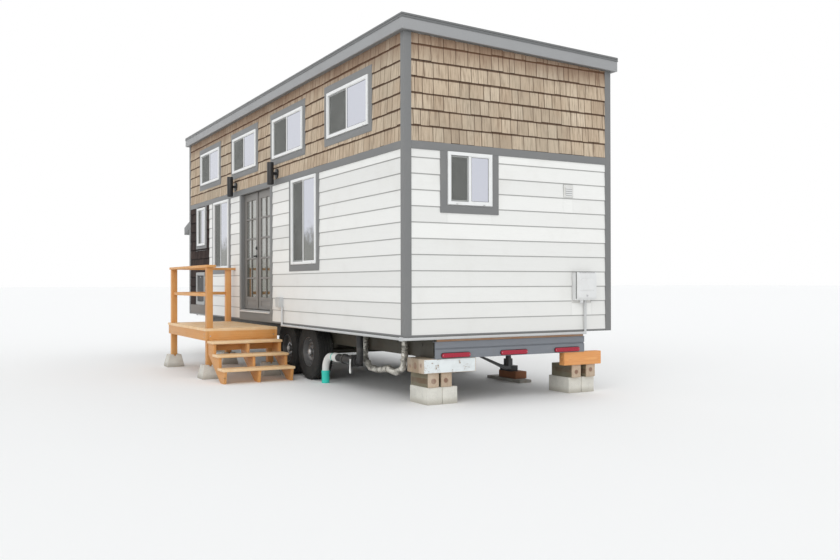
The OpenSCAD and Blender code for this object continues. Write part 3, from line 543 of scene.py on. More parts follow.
@dataclass(frozen=True)
class Pane(Finish):
    """Window glass: glossy, with a slight wave, a film of dust, and, where a skyline is given, a painted
    reflection of darker land below it.
    """

    tint: RGB  # its colour
    opacity: float = 0.5  # how much of what lies behind it is hidden
    mirror: float = 0.0  # how strongly its coating throws the sky back, from 0 to 1
    skyline: float = 0.0  # height under which it shows a painted reflection of darker land, or 0 for none
    painted_land: RGB = (0.17, 0.175, 0.155)  # colour of that painted reflection

    def build(self) -> Material:
        """Build the material.

        Returns:
            The material.
        """
        tree = Tree(self.name)
        place = tree.place()
        wave = tree.noise(place, 1.3, 1.0)
        film = tree.noise(place, 4.0, 4.0, 0.6)
        tree.material.surface_render_method = "BLENDED"
        colour: Sock | RGB = self.tint
        # Painted reflection: darker land below the skyline, the tint above it.
        if self.skyline:
            edge = tree.axis(place, "Z") + tree.noise(place, 5.0, 5.0, 0.7) * 0.6
            colour = tree.mix(edge.band(self.skyline + 0.15, self.skyline + 0.45), self.painted_land, self.tint)
        return tree.finish(
            Base_Color=tree.mix(film * 0.2, colour, (0.5, 0.5, 0.5)),
            Roughness=film * 0.05 + 0.02,
            Metallic=self.mirror,
            Alpha=film * 0.1 + (self.opacity - 0.05),
            Normal=tree.bump(wave, 0.004, 0.15),
            IOR=1.6,
        )


@dataclass(frozen=True)
class Screen(Finish):
    """Insect screen: a fine square weave of thread that lets part of the pane behind it show."""

    colour: RGB  # colour of the thread
    pitch: float = 0.0016  # distance from thread to thread, in metres

    def build(self) -> Material:
        """Build the material.

        Returns:
            The material.
        """
        tree = Tree(self.name)
        place = tree.place()
        across = tree.axis(place, "X") + tree.axis(place, "Y")
        threads = [(run * (1.0 / self.pitch)).fract().over(0.45) for run in (across, tree.axis(place, "Z"))]
        open_share = threads[0] * threads[1]
        dust = tree.noise(place, 2.2, 4.0, 0.6)
        tree.material.surface_render_method = "BLENDED"
        return tree.finish(
            Base_Color=tree.mix(dust.band(0.4, 0.75) * 0.4, self.colour, scaled(self.colour, 1.8)),
            Roughness=0.75,
            Alpha=1.0 - open_share * 0.85,
            Normal=tree.bump(threads[0] + threads[1], 0.0002, 0.5),
        )


# Geometry


class Geo(Tree):
    """A Geometry Nodes tree with named inputs, which ends in Realize Instances and Set Material."""

    def __init__(self, name: str, **inputs: tuple[str, object]) -> None:
        """Start a tree.

        Args:
            name: The tree's name.
            inputs: The socket type and value of each named input.
        """
        self.group = bpy.data.node_groups.new(name, "GeometryNodeTree")
        self._take(self.group)
        face = self.group.interface
        face.new_socket("Geometry", in_out="INPUT", socket_type="NodeSocketGeometry")
        for key, (kind, value) in inputs.items():
            socket = face.new_socket(key, in_out="INPUT", socket_type=f"NodeSocket{kind}")
            if value is not None:
                socket.default_value = value
        face.new_socket("Material", in_out="INPUT", socket_type="NodeSocketMaterial")
        face.new_socket("Geometry", in_out="OUTPUT", socket_type="NodeSocketGeometry")
        self.entry = self.nodes.new("NodeGroupInput")

    def given(self, name: str) -> Sock:
        """Return one of the tree's named inputs."""
        return Sock(self, self.entry.outputs[name])

    def named(self, name: str, kind: str = "FLOAT") -> Sock:
        """Return a named attribute."""
        return self.add("GeometryNodeInputNamedAttribute", {"data_type": kind}, {"Name": name})

    def store(self, geometry: Sock, name: str, value: Sock, kind: str = "FLOAT") -> Sock:
        """Store a named attribute on a geometry's points."""
        given = {"Geometry": geometry, "Name": name, "Value": value}
        return self.add("GeometryNodeStoreNamedAttribute", {"data_type": kind, "domain": "POINT"}, given)

    def sum(self, first: Sock, second: object) -> Sock:
        """Return the sum of two vectors."""
        return self.add("ShaderNodeVectorMath", {"operation": "ADD"}, {0: first, 1: second})

    def times(self, vector: Sock, scale: Sock) -> Sock:
        """Return a vector times a number."""
        return self.add("ShaderNodeVectorMath", {"operation": "SCALE"}, {0: vector, "Scale": scale})

    def combine(self, x: object, y: object, z: object) -> Sock:
        """Return a vector made of three numbers."""
        return self.add("ShaderNodeCombineXYZ", inputs={0: x, 1: y, 2: z})

    def end(self, geometry: Sock) -> None:
        """Realize the instances, set the material and end the tree.

        Args:
            geometry: What the tree has built.
        """
        real = self.add("GeometryNodeRealizeInstances", inputs={0: geometry})
        given = {"Geometry": real, "Material": self.given("Material")}
        done = self.add("GeometryNodeSetMaterial", inputs=given)
        output = self.nodes.new("NodeGroupOutput")
        self.links.new(done.socket, output.inputs[0])

    def run(self, name: str, mesh: bpy.types.Mesh, **values: object) -> Piece:
        """Run the tree on a mesh and return the result as a plain mesh object.

        Args:
            name: Name of the piece.
            mesh: The mesh that the tree starts from.
            values: Values of the tree's named inputs, its material among them.

        Returns:
            The finished object, with no modifier left on it.
        """
        holder = bpy.data.objects.new(name + "_holder", mesh)
        bpy.context.scene.collection.objects.link(holder)
        modifier = holder.modifiers.new("nodes", "NODES")
        modifier.node_group = self.group
        for item in self.group.interface.items_tree:
            if item.in_out == "INPUT" and item.name in values:
                modifier[item.identifier] = values[item.name]
        holder.update_tag()
        graph = bpy.context.evaluated_depsgraph_get()
        result = bpy.data.meshes.new_from_object(holder.evaluated_get(graph), depsgraph=graph)
        holder.modifiers.clear()
        bpy.data.objects.remove(holder)
        return make(name, result, values["Material"])


def make(name: str, mesh: bpy.types.Mesh, material: Material) -> Piece:
    """Link a mesh to the scene as a piece with one material.

    Args:
        name: Name of the piece and of its mesh.
        mesh: The mesh, whose own materials are dropped.
        material: The piece's finish.

    Returns:
        The piece.
    """
    mesh.name = name
    mesh.materials.clear()
    mesh.materials.append(material)
    for face in mesh.polygons:
        face.material_index = 0
    piece = bpy.data.objects.new(name, mesh)
    bpy.context.scene.collection.objects.link(piece)
    return piece


def points(places: Sequence[Point], **attributes: Sequence[object]) -> bpy.types.Mesh:
    """Return a mesh of loose points that carry attributes, for a tree to build on.

    Args:
        places: Where the points are.
        attributes: One list of numbers or vectors for each name.

    Returns:
        The mesh.
    """
    mesh = bpy.data.meshes.new("points")
    mesh.from_pydata(list(places), [], [])
    for name, values in attributes.items():
        if isinstance(values[0], (int, float)):
            mesh.attributes.new(name, "FLOAT", "POINT").data.foreach_set("value", values)
        else:
            flat = [number for value in values for number in value]
            mesh.attributes.new(name, "FLOAT_VECTOR", "POINT").data.foreach_set("vector", flat)
    return mesh


@dataclass(frozen=True)
class Box:
    """A box from its lowest corner to its highest."""

    low: Vector
    high: Vector

    @classmethod
    def of(cls, node: str) -> Box:
        """Return a CAD node's box."""
        low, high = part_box(node)
        return cls(Vector(low), Vector(high))

    @property
    def size(self) -> Vector:
        """The box's three sizes."""
        return self.high - self.low

    @property
    def middle(self) -> Vector:
        """The box's middle."""
        return (self.low + self.high) / 2

    def sides(self) -> tuple[float, ...]:
        """Return the box's least and greatest X, then Y, then Z."""
        return tuple(side for pair in zip(self.low, self.high) for side in pair)


def merged(node: str) -> Shape:
    """Copy a CAD node's mesh with its doubles merged and its flat faces whole.

    Args:
        node: The CAD node.

    Returns:
        The copy, which the caller frees.
    """
    shape = bmesh.new()
    shape.from_mesh(frame["nodes"][node].data)
    bmesh.ops.remove_doubles(shape, verts=shape.verts, dist=1e-5)
    bmesh.ops.dissolve_limit(
        shape, angle_limit=math.radians(0.5), verts=shape.verts, edges=shape.edges, delimit={"NORMAL"}
    )
    return shape


def solids(shape: Shape) -> list[list[Vertex]]:
    """Part a mesh into its separate solids.

    Args:
        shape: The mesh.

    Returns:
        The vertices of each solid.
    """
    shape.verts.ensure_lookup_table()
    seen: set[int] = set()
    groups = []
    for start in shape.verts:
        if start.index in seen:
            continue
        seen.add(start.index)
        group, queue = [], [start]
        while queue:
            vertex = queue.pop()
            group.append(vertex)
            for edge in vertex.link_edges:
                other = edge.other_vert(vertex)
                if other.index not in seen:
                    seen.add(other.index)
                    queue.append(other)
        groups.append(group)
    return groups


def box_of(vertices: Iterable[Vertex]) -> Box:
    """Return the box round some vertices."""
    places = [v.co for v in vertices]
    return Box(Vector(map(min, zip(*places))), Vector(map(max, zip(*places))))


def solid_boxes(node: str) -> list[Box]:
    """Measure each separate solid of a CAD node.

    Args:
        node: The CAD node.

    Returns:
        One box for each solid.
    """
    shape = merged(node)
    boxes = [box_of(group) for group in solids(shape)]
    shape.free()
    return boxes


class Grain(Enum):
    """The way that a board's grain runs."""

    LONGEST = -1
    X = 0
    Y = 1
    Z = 2


HEART = 0.12  # greatest distance of a board's heart line from its middle, in metres
BEVEL_ANGLE = math.radians(30.0)  # an edge that turns by more is rounded
SHARP_ANGLE = math.radians(32.0)  # an edge that turns by more is shaded sharp


def grained(shape: Shape, seed: int = 1, along: Grain = Grain.LONGEST, heart: float = HEART) -> None:
    """Give each solid a tone of its own and coordinates from the heart line of the log that it was sawn from.

    Args:
        shape: The mesh, which gains the attributes grain and tone.
        seed: Seed of the tones and offsets.
        along: The way that the grain runs.
        heart: Greatest distance of the heart line from a solid's middle, in metres.
    """
    rng = random.Random(seed)
    shape.verts.index_update()
    grain = shape.verts.layers.float_vector.new("grain")
    tone = shape.verts.layers.float.new("tone")
    for group in solids(shape):
        box = box_of(group)
        size, middle = box.size, box.middle
        first = max(range(3), key=lambda i: size[i]) if along is Grain.LONGEST else along.value
        second, third = [i for i in range(3) if i != first]
        turn, reach, shade = rng.uniform(0.0, 2 * math.pi), heart * rng.uniform(0.5, 1.0), rng.random()
        shift = Vector((rng.uniform(0.0, 9.0), reach * math.cos(turn), reach * math.sin(turn)))
        for vertex in group:
            spot = vertex.co - middle
            vertex[grain] = Vector((spot[first], spot[second], spot[third])) + shift
            vertex[tone] = shade


def bevelled(shape: Shape, width: float, segments: int = 2, only: Sequence[Vertex] = ()) -> None:
    """Round the edges of a mesh that turn clearly.

    Nothing is added to the mesh afterwards, because its order would then differ from run to run.

    Args:
        shape: The mesh.
        width: Radius of the rounded edges, in metres.
        segments: Steps of each rounded edge.
        only: The vertices whose edges are rounded, or none for the whole mesh.
    """
    chosen = [edge for edge in shape.edges if not only or edge.verts[0] in only]
    edges = (edge for edge in chosen if len(edge.link_faces) == 2)
    sharp = [edge for edge in edges if edge.calc_face_angle(0.0) > BEVEL_ANGLE]
    bmesh.ops.bevel(
        shape, geom=sharp, offset=width, segments=segments, profile=0.6, affect="EDGES", clamp_overlap=True
    )


def ride(piece: Piece, slot: str, body: str = "root", *nodes: str) -> Piece:
    """Let a piece ride on a body and report it.

    Args:
        piece: The piece.
        slot: Slot of the record; not used.
        body: The body that it rides on.
        nodes: The CAD nodes that it stands for.

    Returns:
        The piece.
    """
    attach(piece, body)
    if nodes:
        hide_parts(*nodes)
    log.info("%s rides on %s: %d faces", piece.name, body, len(piece.data.polygons))
    return piece


def dress(
    node: str,
    material: Material,
    width: float = 0.003,
    body: str = "root",
    seed: int = 1,
    along: Grain = Grain.LONGEST,
    keep: Callable[[Box], bool] | None = None,
    name: str = "",
) -> Piece:
    """Replace a CAD node by a copy with rounded edges and grain.

    Args:
        node: The CAD node.
        material: The piece's finish.
        width: Radius of the rounded edges, in metres.
        body: The body that it rides on.
        seed: Seed of its boards' tones.
        along: The way that the grain runs.
        keep: Says which of the node's solids are kept, or None for all.
        name: The piece's name, or nothing for one made from the node's.

    Returns:
        The piece.
    """
    shape = merged(node)
    if keep:
        lost = [v for group in solids(shape) if not keep(box_of(group)) for v in group]
        bmesh.ops.delete(shape, geom=lost, context="VERTS")
    grained(shape, seed, along)
    return fit(shape, name or node + "_dressed", material, SLOTS[node], body, node, width=width)


def fit(
    shape: Shape, name: str, material: Material, slot: str, body: str = "root", *nodes: str,
    seed: int = 0, heart: float = HEART, width: float = 0.0, segments: int = 2,
    sharp: float = SHARP_ANGLE,
) -> Piece:
    """Finish a mesh as a smooth-shaded piece and let it ride on a body.

    Args:
        shape: The mesh, which is freed.
        name: Name of the piece.
        material: Its finish.
        slot: Slot of the record, handed on to ride.
        body: The body that it rides on.
        nodes: The CAD nodes that it stands for.
        seed: Seed of its boards' tones, or 0 for a piece without grain.
        heart: Greatest distance of the heart line from a board's middle.
        width: Radius of its rounded edges, or 0 for none.
        segments: Steps of each rounded edge.
        sharp: Angle past which an edge stays sharp.

    Returns:
        The piece.
    """
    if seed:
        grained(shape, seed, heart=heart)
    if width:
        bevelled(shape, width, segments)
    mesh = bpy.data.meshes.new(name)
    shape.to_mesh(mesh)
    shape.free()
    piece = make(name, mesh, material)
    mesh.shade_smooth()
    mesh.set_sharp_from_angle(angle=sharp)
    return ride(piece, slot, body, *nodes)


def turns(count: int, closed: bool = False) -> list[float]:
    """Return the angles of a full turn in even steps, with its end as well if it is closed."""
    return [2 * math.pi * k / count for k in range(count + closed)]


def spread(start: float, reach: float, count: int) -> list[float]:
    """Return evenly spread numbers, from a start on over a reach."""
    return [start + reach * i / (count - 1) for i in range(count)]


def add_box(shape: Shape, low: Sequence[float], high: Sequence[float]) -> list[Vertex]:
    """Add a box to a mesh.

    Args:
        shape: The mesh.
        low: The box's lowest corner.
        high: Its highest corner.

    Returns:
        The box's vertices.
    """
    size = Vector(high) - Vector(low)
    matrix = Matrix.Translation((Vector(low) + Vector(high)) / 2) @ Matrix.Diagonal((*size, 1.0))
    return bmesh.ops.create_cube(shape, size=1.0, matrix=matrix)["verts"]


def add_tube(
    shape: Shape, start: Sequence[float], end: Sequence[float], radius: float, sides: int = 24,
    end_radius: float | None = None,
) -> None:
    """Add a closed cylinder or cone to a mesh.

    Args:
        shape: The mesh.
        start: Middle of its first end.
        end: Middle of its other end.
        radius: Its radius.
        sides: Number of its sides.
        end_radius: Its radius at the other end, or None for a cylinder.
    """
    a, b = Vector(start), Vector(end)
    turn = (b - a).to_track_quat("Z", "Y").to_matrix().to_4x4()
    other = radius if end_radius is None else end_radius
    bmesh.ops.create_cone(
        shape, cap_ends=True, segments=sides, radius1=radius, radius2=other, depth=(b - a).length,
        matrix=Matrix.Translation((a + b) / 2) @ turn,
    )


def add_pipe(
    shape: Shape, path: Sequence[Sequence[float]], radius: float | Sequence[float], sides: int = 16
) -> None:
    """Add a closed tube that follows a path.

    Args:
        shape: The mesh.
        path: The points of its middle line.
        radius: Its radius, or one for each point.
        sides: Number of its sides.
    """
    places = [Vector(p) for p in path]
    radii = [radius] * len(places) if isinstance(radius, float) else list(radius)
    rings, side = [], None
    for i, place in enumerate(places):
        ahead = (places[min(i + 1, len(places) - 1)] - places[max(i - 1, 0)]).normalized()
        if side is None:
            side = ahead.orthogonal().normalized()
        side = (side - ahead * side.dot(ahead)).normalized()
        up = ahead.cross(side)
        around = [side * math.cos(turn) + up * math.sin(turn) for turn in turns(sides)]
        rings.append([shape.verts.new(place + way * radii[i]) for way in around])
    for below, above in zip(rings, rings[1:]):
        for k in range(sides):
            shape.faces.new((below[k], below[(k + 1) % sides], above[(k + 1) % sides], above[k]))
    shape.faces.new(reversed(rings[0]))
    shape.faces.new(rings[-1])


def rounded_path(corners: Sequence[Sequence[float]], radius: float, steps: int = 8) -> list[Vector]:
    """Round the corners of a path.

    Args:
        corners: Its corners, from end to end.
        radius: Radius of each bend.
        steps: Steps of each bend.

    Returns:
        The points of the rounded path.
    """
    places = [Vector(c) for c in corners]
    path = [places[0]]
    for before, corner, after in zip(places, places[1:], places[2:]):
        back, on = (before - corner).normalized(), (after - corner).normalized()
        reach = radius / math.tan(back.angle(on) / 2)
        start, end = corner + back * reach, corner + on * reach
        for i in range(steps + 1):
            t = i / steps
            path.append(start * (1 - t) ** 2 + corner * 2 * t * (1 - t) + end * t**2)
    return [*path, places[-1]]


SLOTS: dict[str, str] = {part["node"]: part["material_slot"] for part in frame["record"]["subparts"]}
COURSE_RISE = 0.1778  # height that shows of each course of siding and shingles, in metres


class Palette:
    """The finishes of the house, each built once."""

    def __init__(self) -> None:
        """Build every finish."""
        front, back = Box.of("front_wall_left"), Box.of("back_wall")
        fall = (front.high.z - back.high.z + 0.005) / (back.high.y - front.low.y)
        self.siding = Paint(
            "white_siding", (0.87, 0.87, 0.845), soil=0.18, gloss=0.5, grain=0.0005, lap=COURSE_RISE
        ).build()
        self.closet = Paint("closet_siding", (0.85, 0.85, 0.83), soil=0.25, gloss=0.5).build()
        self.trim = Paint("grey_trim", (0.205, 0.208, 0.208), (0.30, 0.29, 0.27), 0.3).build()
        self.fascia = Paint("fascia_paint", (0.36, 0.365, 0.37), (0.22, 0.21, 0.2), 0.3).build()
        self.door = Paint("door_paint", (0.205, 0.195, 0.182), (0.30, 0.28, 0.25), 0.25, 0.42).build()
        self.cedar = Shingle(
            "cedar_shingle",
            ((0.72, 0.61, 0.475), (0.62, 0.505, 0.375), (0.53, 0.415, 0.30), (0.41, 0.305, 0.215)),
            (0.235, 0.165, 0.115),
            (0.075, 0.036, 0.02),
            (0.40, 0.355, 0.28),
            COURSE_RISE,
            front.high.z + fall * front.low.y,
            fall,
        ).build()
        self.shake = Shingle(
            "dark_shake",
            ((0.085, 0.055, 0.046), (0.052, 0.034, 0.029), (0.030, 0.019, 0.017), (0.018, 0.011, 0.010)),
            (0.014, 0.009, 0.008),
            (0.008, 0.005, 0.005),
            (0.055, 0.045, 0.04),
            COURSE_RISE,
        ).build()
        self.panel = Paint("brown_panel", (0.17, 0.145, 0.125), (0.26, 0.23, 0.2), 0.4).build()
        self.porch = Timber(
            "porch_timber", (0.78, 0.40, 0.13), (0.60, 0.26, 0.07), (0.62, 0.42, 0.22),
            0.25, 0.5, 0.2, (0.55, 0.24, 0.09),
        ).build()
        self.deck = Timber(
            "deck_timber", (0.92, 0.66, 0.37), (0.80, 0.50, 0.25), (0.86, 0.72, 0.52),
            0.5, 0.5, 0.15, (0.75, 0.46, 0.22),
        ).build()
        self.old_timber = Timber(
            "crib_timber", (0.50, 0.39, 0.27), (0.32, 0.225, 0.145), (0.36, 0.33, 0.28),
            0.7, 0.75, 0.3, (0.26, 0.13, 0.08),
        ).build()
        self.pale_timber = Timber(
            "pale_crib_timber", (0.64, 0.52, 0.39), (0.40, 0.29, 0.20), (0.60, 0.53, 0.44),
            0.6, 0.7, 0.15, (0.20, 0.085, 0.055),
        ).build()
        self.green_timber = Timber(
            "green_crib_timber", (0.27, 0.245, 0.165), (0.13, 0.11, 0.07), (0.22, 0.21, 0.16),
            0.8, 0.8, 0.3, (0.16, 0.10, 0.06),
        ).build()
        self.fir = Timber(
            "new_fir", (0.86, 0.42, 0.14), (0.70, 0.27, 0.075), (0.66, 0.42, 0.25),
            0.2, 0.55, 0.15, (0.62, 0.24, 0.08),
        ).build()
        self.grey_plank = Timber(
            "grey_plank", (0.40, 0.385, 0.35), (0.27, 0.25, 0.22), (0.45, 0.44, 0.42),
            0.8, 0.85, 0.2, (0.3, 0.26, 0.22),
        ).build()
        self.sub_floor = Timber(
            "sub_floor", (0.085, 0.075, 0.05), (0.05, 0.042, 0.028), (0.07, 0.066, 0.05),
            0.7, 0.8, 0.2, (0.08, 0.05, 0.03),
        ).build()
        self.edge_board = Timber(
            "raw_edge_board", (0.46, 0.27, 0.16), (0.33, 0.17, 0.09), (0.42, 0.33, 0.25),
            0.4, 0.7, 0.2, (0.34, 0.16, 0.08),
        ).build()
        self.painted_timber = Peeling("painted_timber", (0.80, 0.845, 0.85), (0.46, 0.33, 0.21)).build()
        self.vinyl = Plastic("window_vinyl", (0.84, 0.85, 0.845), 0.35, (0.5, 0.48, 0.44), 0.18).build()
        self.glass = Pane("window_pane", (0.045, 0.055, 0.06), 0.62, 0.06).build()
        # The coated and the door panes carry a painted reflection of darker land below their skylines.
        self.sky_glass = Pane("coated_pane", (0.66, 0.68, 0.76), 0.93, 0.9, 2.06).build()
        self.door_glass = Pane("door_pane", (0.46, 0.47, 0.44), 0.85, 0.6, 1.75, (0.19, 0.19, 0.145)).build()
        self.screen = Screen("insect_screen", (0.16, 0.165, 0.155)).build()
        self.screen_rim = Metal("screen_rim", (0.42, 0.43, 0.42), 0.3, 0.5, (0.4, 0.39, 0.36), 0.3).build()
        self.gasket = Plastic("black_gasket", (0.02, 0.02, 0.02), 0.55).build()
        self.black = Metal("black_metal", (0.018, 0.018, 0.019), 0.0, 0.4, (0.10, 0.09, 0.08), 0.12).build()
        self.steel = Metal("frame_steel", (0.056, 0.050, 0.036), 0.0, 0.55, (0.12, 0.075, 0.045), 0.4).build()
        self.beam = Metal("beam_paint", (0.20, 0.215, 0.24), 0.0, 0.5, (0.24, 0.19, 0.14), 0.2).build()
        self.rim = Metal("rim_steel", (0.22, 0.22, 0.22), 0.6, 0.38, (0.10, 0.08, 0.06), 0.4).build()
        self.chrome = Metal("bright_steel", (0.62, 0.62, 0.63), 1.0, 0.25, (0.25, 0.2, 0.15), 0.15).build()
        self.tyre = Plastic(
            "tyre_rubber", (0.021, 0.021, 0.020), 0.85, (0.10, 0.094, 0.08), 0.35, 0.0006
        ).build()
        self.felt = Metal("roof_felt", (0.085, 0.085, 0.09), 0.0, 0.9, (0.16, 0.16, 0.165), 0.8).build()
        self.drip = Metal("drip_edge", (0.165, 0.17, 0.172), 0.0, 0.45, (0.12, 0.12, 0.12), 0.3).build()
        self.alloy = Metal("mill_alloy", (0.70, 0.70, 0.69), 0.6, 0.4, (0.3, 0.28, 0.25), 0.3).build()
        self.foil = Metal(
            "foil_wrap", (0.70, 0.68, 0.62), 0.75, 0.32, (0.05, 0.042, 0.028), 0.95, 0.46
        ).build()
        self.box_grey = Plastic("box_grey", (0.76, 0.765, 0.76), 0.42, (0.5, 0.48, 0.44), 0.2).build()
        self.conduit = Plastic("conduit_grey", (0.56, 0.57, 0.57), 0.45, (0.4, 0.38, 0.34), 0.25).build()
        self.hatch = Plastic("hatch_frame", (0.36, 0.365, 0.36), 0.5).build()
        self.pvc = Plastic("white_pvc", (0.78, 0.78, 0.76), 0.4, (0.45, 0.42, 0.36), 0.3).build()
        self.teal = Plastic("teal_pvc", (0.025, 0.62, 0.50), 0.38, (0.3, 0.4, 0.35), 0.15).build()
        self.black_plastic = Plastic("black_plastic", (0.02, 0.02, 0.021), 0.5).build()
        self.lamp = Plastic("red_lens", (0.40, 0.013, 0.04), 0.3, (0.3, 0.08, 0.09), 0.1).build()
        self.concrete = Concrete("cast_concrete", (0.66, 0.645, 0.59), (0.30, 0.27, 0.22)).build()
        self.block = Concrete("pale_block", (0.74, 0.725, 0.66), (0.34, 0.31, 0.25)).build()
        self.brown_block = Concrete("brown_block", (0.30, 0.125, 0.06), (0.10, 0.06, 0.04)).build()
        self.plaster = Paint("inner_wall", (0.78, 0.77, 0.74), soil=0.1, grain=0.0001).build()
        self.floor = Timber(
            "inner_floor", (0.42, 0.30, 0.19), (0.30, 0.20, 0.12), (0.35, 0.27, 0.2), 0.2, 0.4
        ).build()
        self.paper = Plastic("building_paper", (0.022, 0.02, 0.018), 0.85).build()


# Cladding

LEAST_BOARD = 0.002  # a board that is shorter is left out, in metres
LEAST_STRIP = 0.004  # a strip of a course that is lower is left out, in metres
LEAST_REST = 0.6  # share of the least width under which a rest joins the board before it


@dataclass(frozen=True)
class Face:
    """One outer face of the house, on which cladding and fittings are placed."""

    origin: Vector  # a point of the wall's outer plane
    along: Vector  # direction that runs to the right, seen from outside
    out: Vector  # direction that points away from the house

    def at(self, a: float, z: float, depth: float = 0.0) -> Vector:
        """Return the point at a place along the wall, a height, and a distance out from it."""
        return self.origin + self.along * a + Vector((0, 0, z)) + self.out * depth

    def spot(self, point: Vector) -> float:
        """Return a point's place along the wall."""
        return (point - self.origin).dot(self.along)

    def depth(self, point: Vector) -> float:
        """Return a point's distance out from the wall."""
        return (point - self.origin).dot(self.out)

    def span(self, box: Box) -> Span:
        """Return a box's reach on the wall: two places along it and two heights."""
        a, b = self.spot(box.low), self.spot(box.high)
        return min(a, b), max(a, b), box.low.z, box.high.z

    def block(self, shape: Shape, span: Span, near: float, far: float) -> None:
        """Add a box that covers a span of the wall.

        Args:
            shape: The mesh that it is added to.
            span: Two places along the wall and two heights.
            near: Distance of its inner side out from the wall.
            far: Distance of its outer side.
        """
        corners = [self.at(a, z, d) for a in span[:2] for z in span[2:] for d in (near, far)]
        low, high = (Vector(map(pick, zip(*corners))) for pick in (min, max))
        add_box(shape, low, high)

    def ring(self, shape: Shape, span: Span, wide: float, near: float, far: float) -> None:
        """Add four bars just inside a span of the wall.

        Args:
            shape: The mesh that they are added to.
            span: Two places along the wall and two heights.
            wide: Width of each bar.
            near: Distance of its inner side out from the wall.
            far: Distance of its outer side.
        """
        a0, a1, z0, z1 = span
        for bar in (
            (a0, a1, z0, z0 + wide), (a0, a1, z1 - wide, z1),
            (a0, a0 + wide, z0 + wide, z1 - wide), (a1 - wide, a1, z0 + wide, z1 - wide),
        ):
            self.block(shape, bar, near, far)


def shrunk(span: Span, by: float) -> Span:
    """Return a span drawn in from all four sides."""
    return span[0] + by, span[1] - by, span[2] + by, span[3] - by


@dataclass(frozen=True)
class Course:
    """Sizes of one kind of cladding."""

    rise: float  # height that shows of each course
    lap: float  # height that the next course covers
    butt: float  # thickness at the lower edge
    tip: float  # thickness at the upper edge
    widths: tuple[float, float]  # least and greatest length of a board or shingle
    gap: float  # gap between neighbours
    ragged: float = 0.0  # how far a lower edge may drop or rise
    upright: bool = False  # whether the grain runs up the piece


class CladdingTree(Geo):
    """Builds boards or shingles on points: each point's attributes give its box, which tapers upwards."""

    def __init__(self) -> None:
        """Build the tree."""
        super().__init__("cladding", Upright=("Bool", False), Seed=("Int", 1), Ragged=("Float", 0.0))
        cube = self.add("GeometryNodeMeshCube", inputs={"Size": (1.0, 1.0, 1.0)})
        place = self.add("GeometryNodeInputPosition")
        unit = self.sum(place, (0.5, 0.5, 0.5))
        cube = self.store(cube, "unit", unit, "FLOAT_VECTOR")
        start = self.given("Geometry")
        seed = self.given("Seed")
        for name, least, own in (("tone", 0.0, seed), ("drop", -1.0, seed + 7)):
            given = {2: least, 3: 1.0, "Seed": own}
            value = self.add("FunctionNodeRandomValue", {"data_type": "FLOAT"}, given, 1)
            start = self.store(start, name, value)
        boxes = self.add("GeometryNodeInstanceOnPoints", inputs={"Points": start, "Instance": cube})
        real = self.add("GeometryNodeRealizeInstances", inputs={0: boxes})
        unit, size = self.named("unit", "FLOAT_VECTOR"), self.named("size", "FLOAT_VECTOR")
        x, y, z = (self.axis(unit, name) for name in "XYZ")
        length, butt, height = (self.axis(size, name) for name in "XYZ")
        depth = y * (butt + (self.named("tip") - butt) * z)
        low = self.named("drop") * self.given("Ragged") * (1.0 - z)
        across = self.times(self.named("along", "FLOAT_VECTOR"), (x - 0.5) * length)
        outward = self.times(self.named("out", "FLOAT_VECTOR"), depth)
        spot = self.sum(self.sum(self.named("base", "FLOAT_VECTOR"), across), outward)
        spot = self.sum(spot, self.combine(0.0, 0.0, z * height + low))
        moved = self.add("GeometryNodeSetPosition", inputs={"Geometry": real, "Position": spot})
        shift = self.named("tone") * 40.0
        run, rise = x * length + shift, z * height + shift
        upright = self.add("GeometryNodeSwitch", {"input_type": "VECTOR"}, {
            "Switch": self.given("Upright"), "False": self.combine(run, rise, depth),
            "True": self.combine(rise, run, depth),
        })
        moved = self.store(moved, "grain", upright, "FLOAT_VECTOR")
        moved = self.store(moved, "across", (x - 0.5) * length)
        moved = self.store(moved, "half", length * 0.5)
        self.end(self.store(moved, "rise", z * height + self.named("lift")))


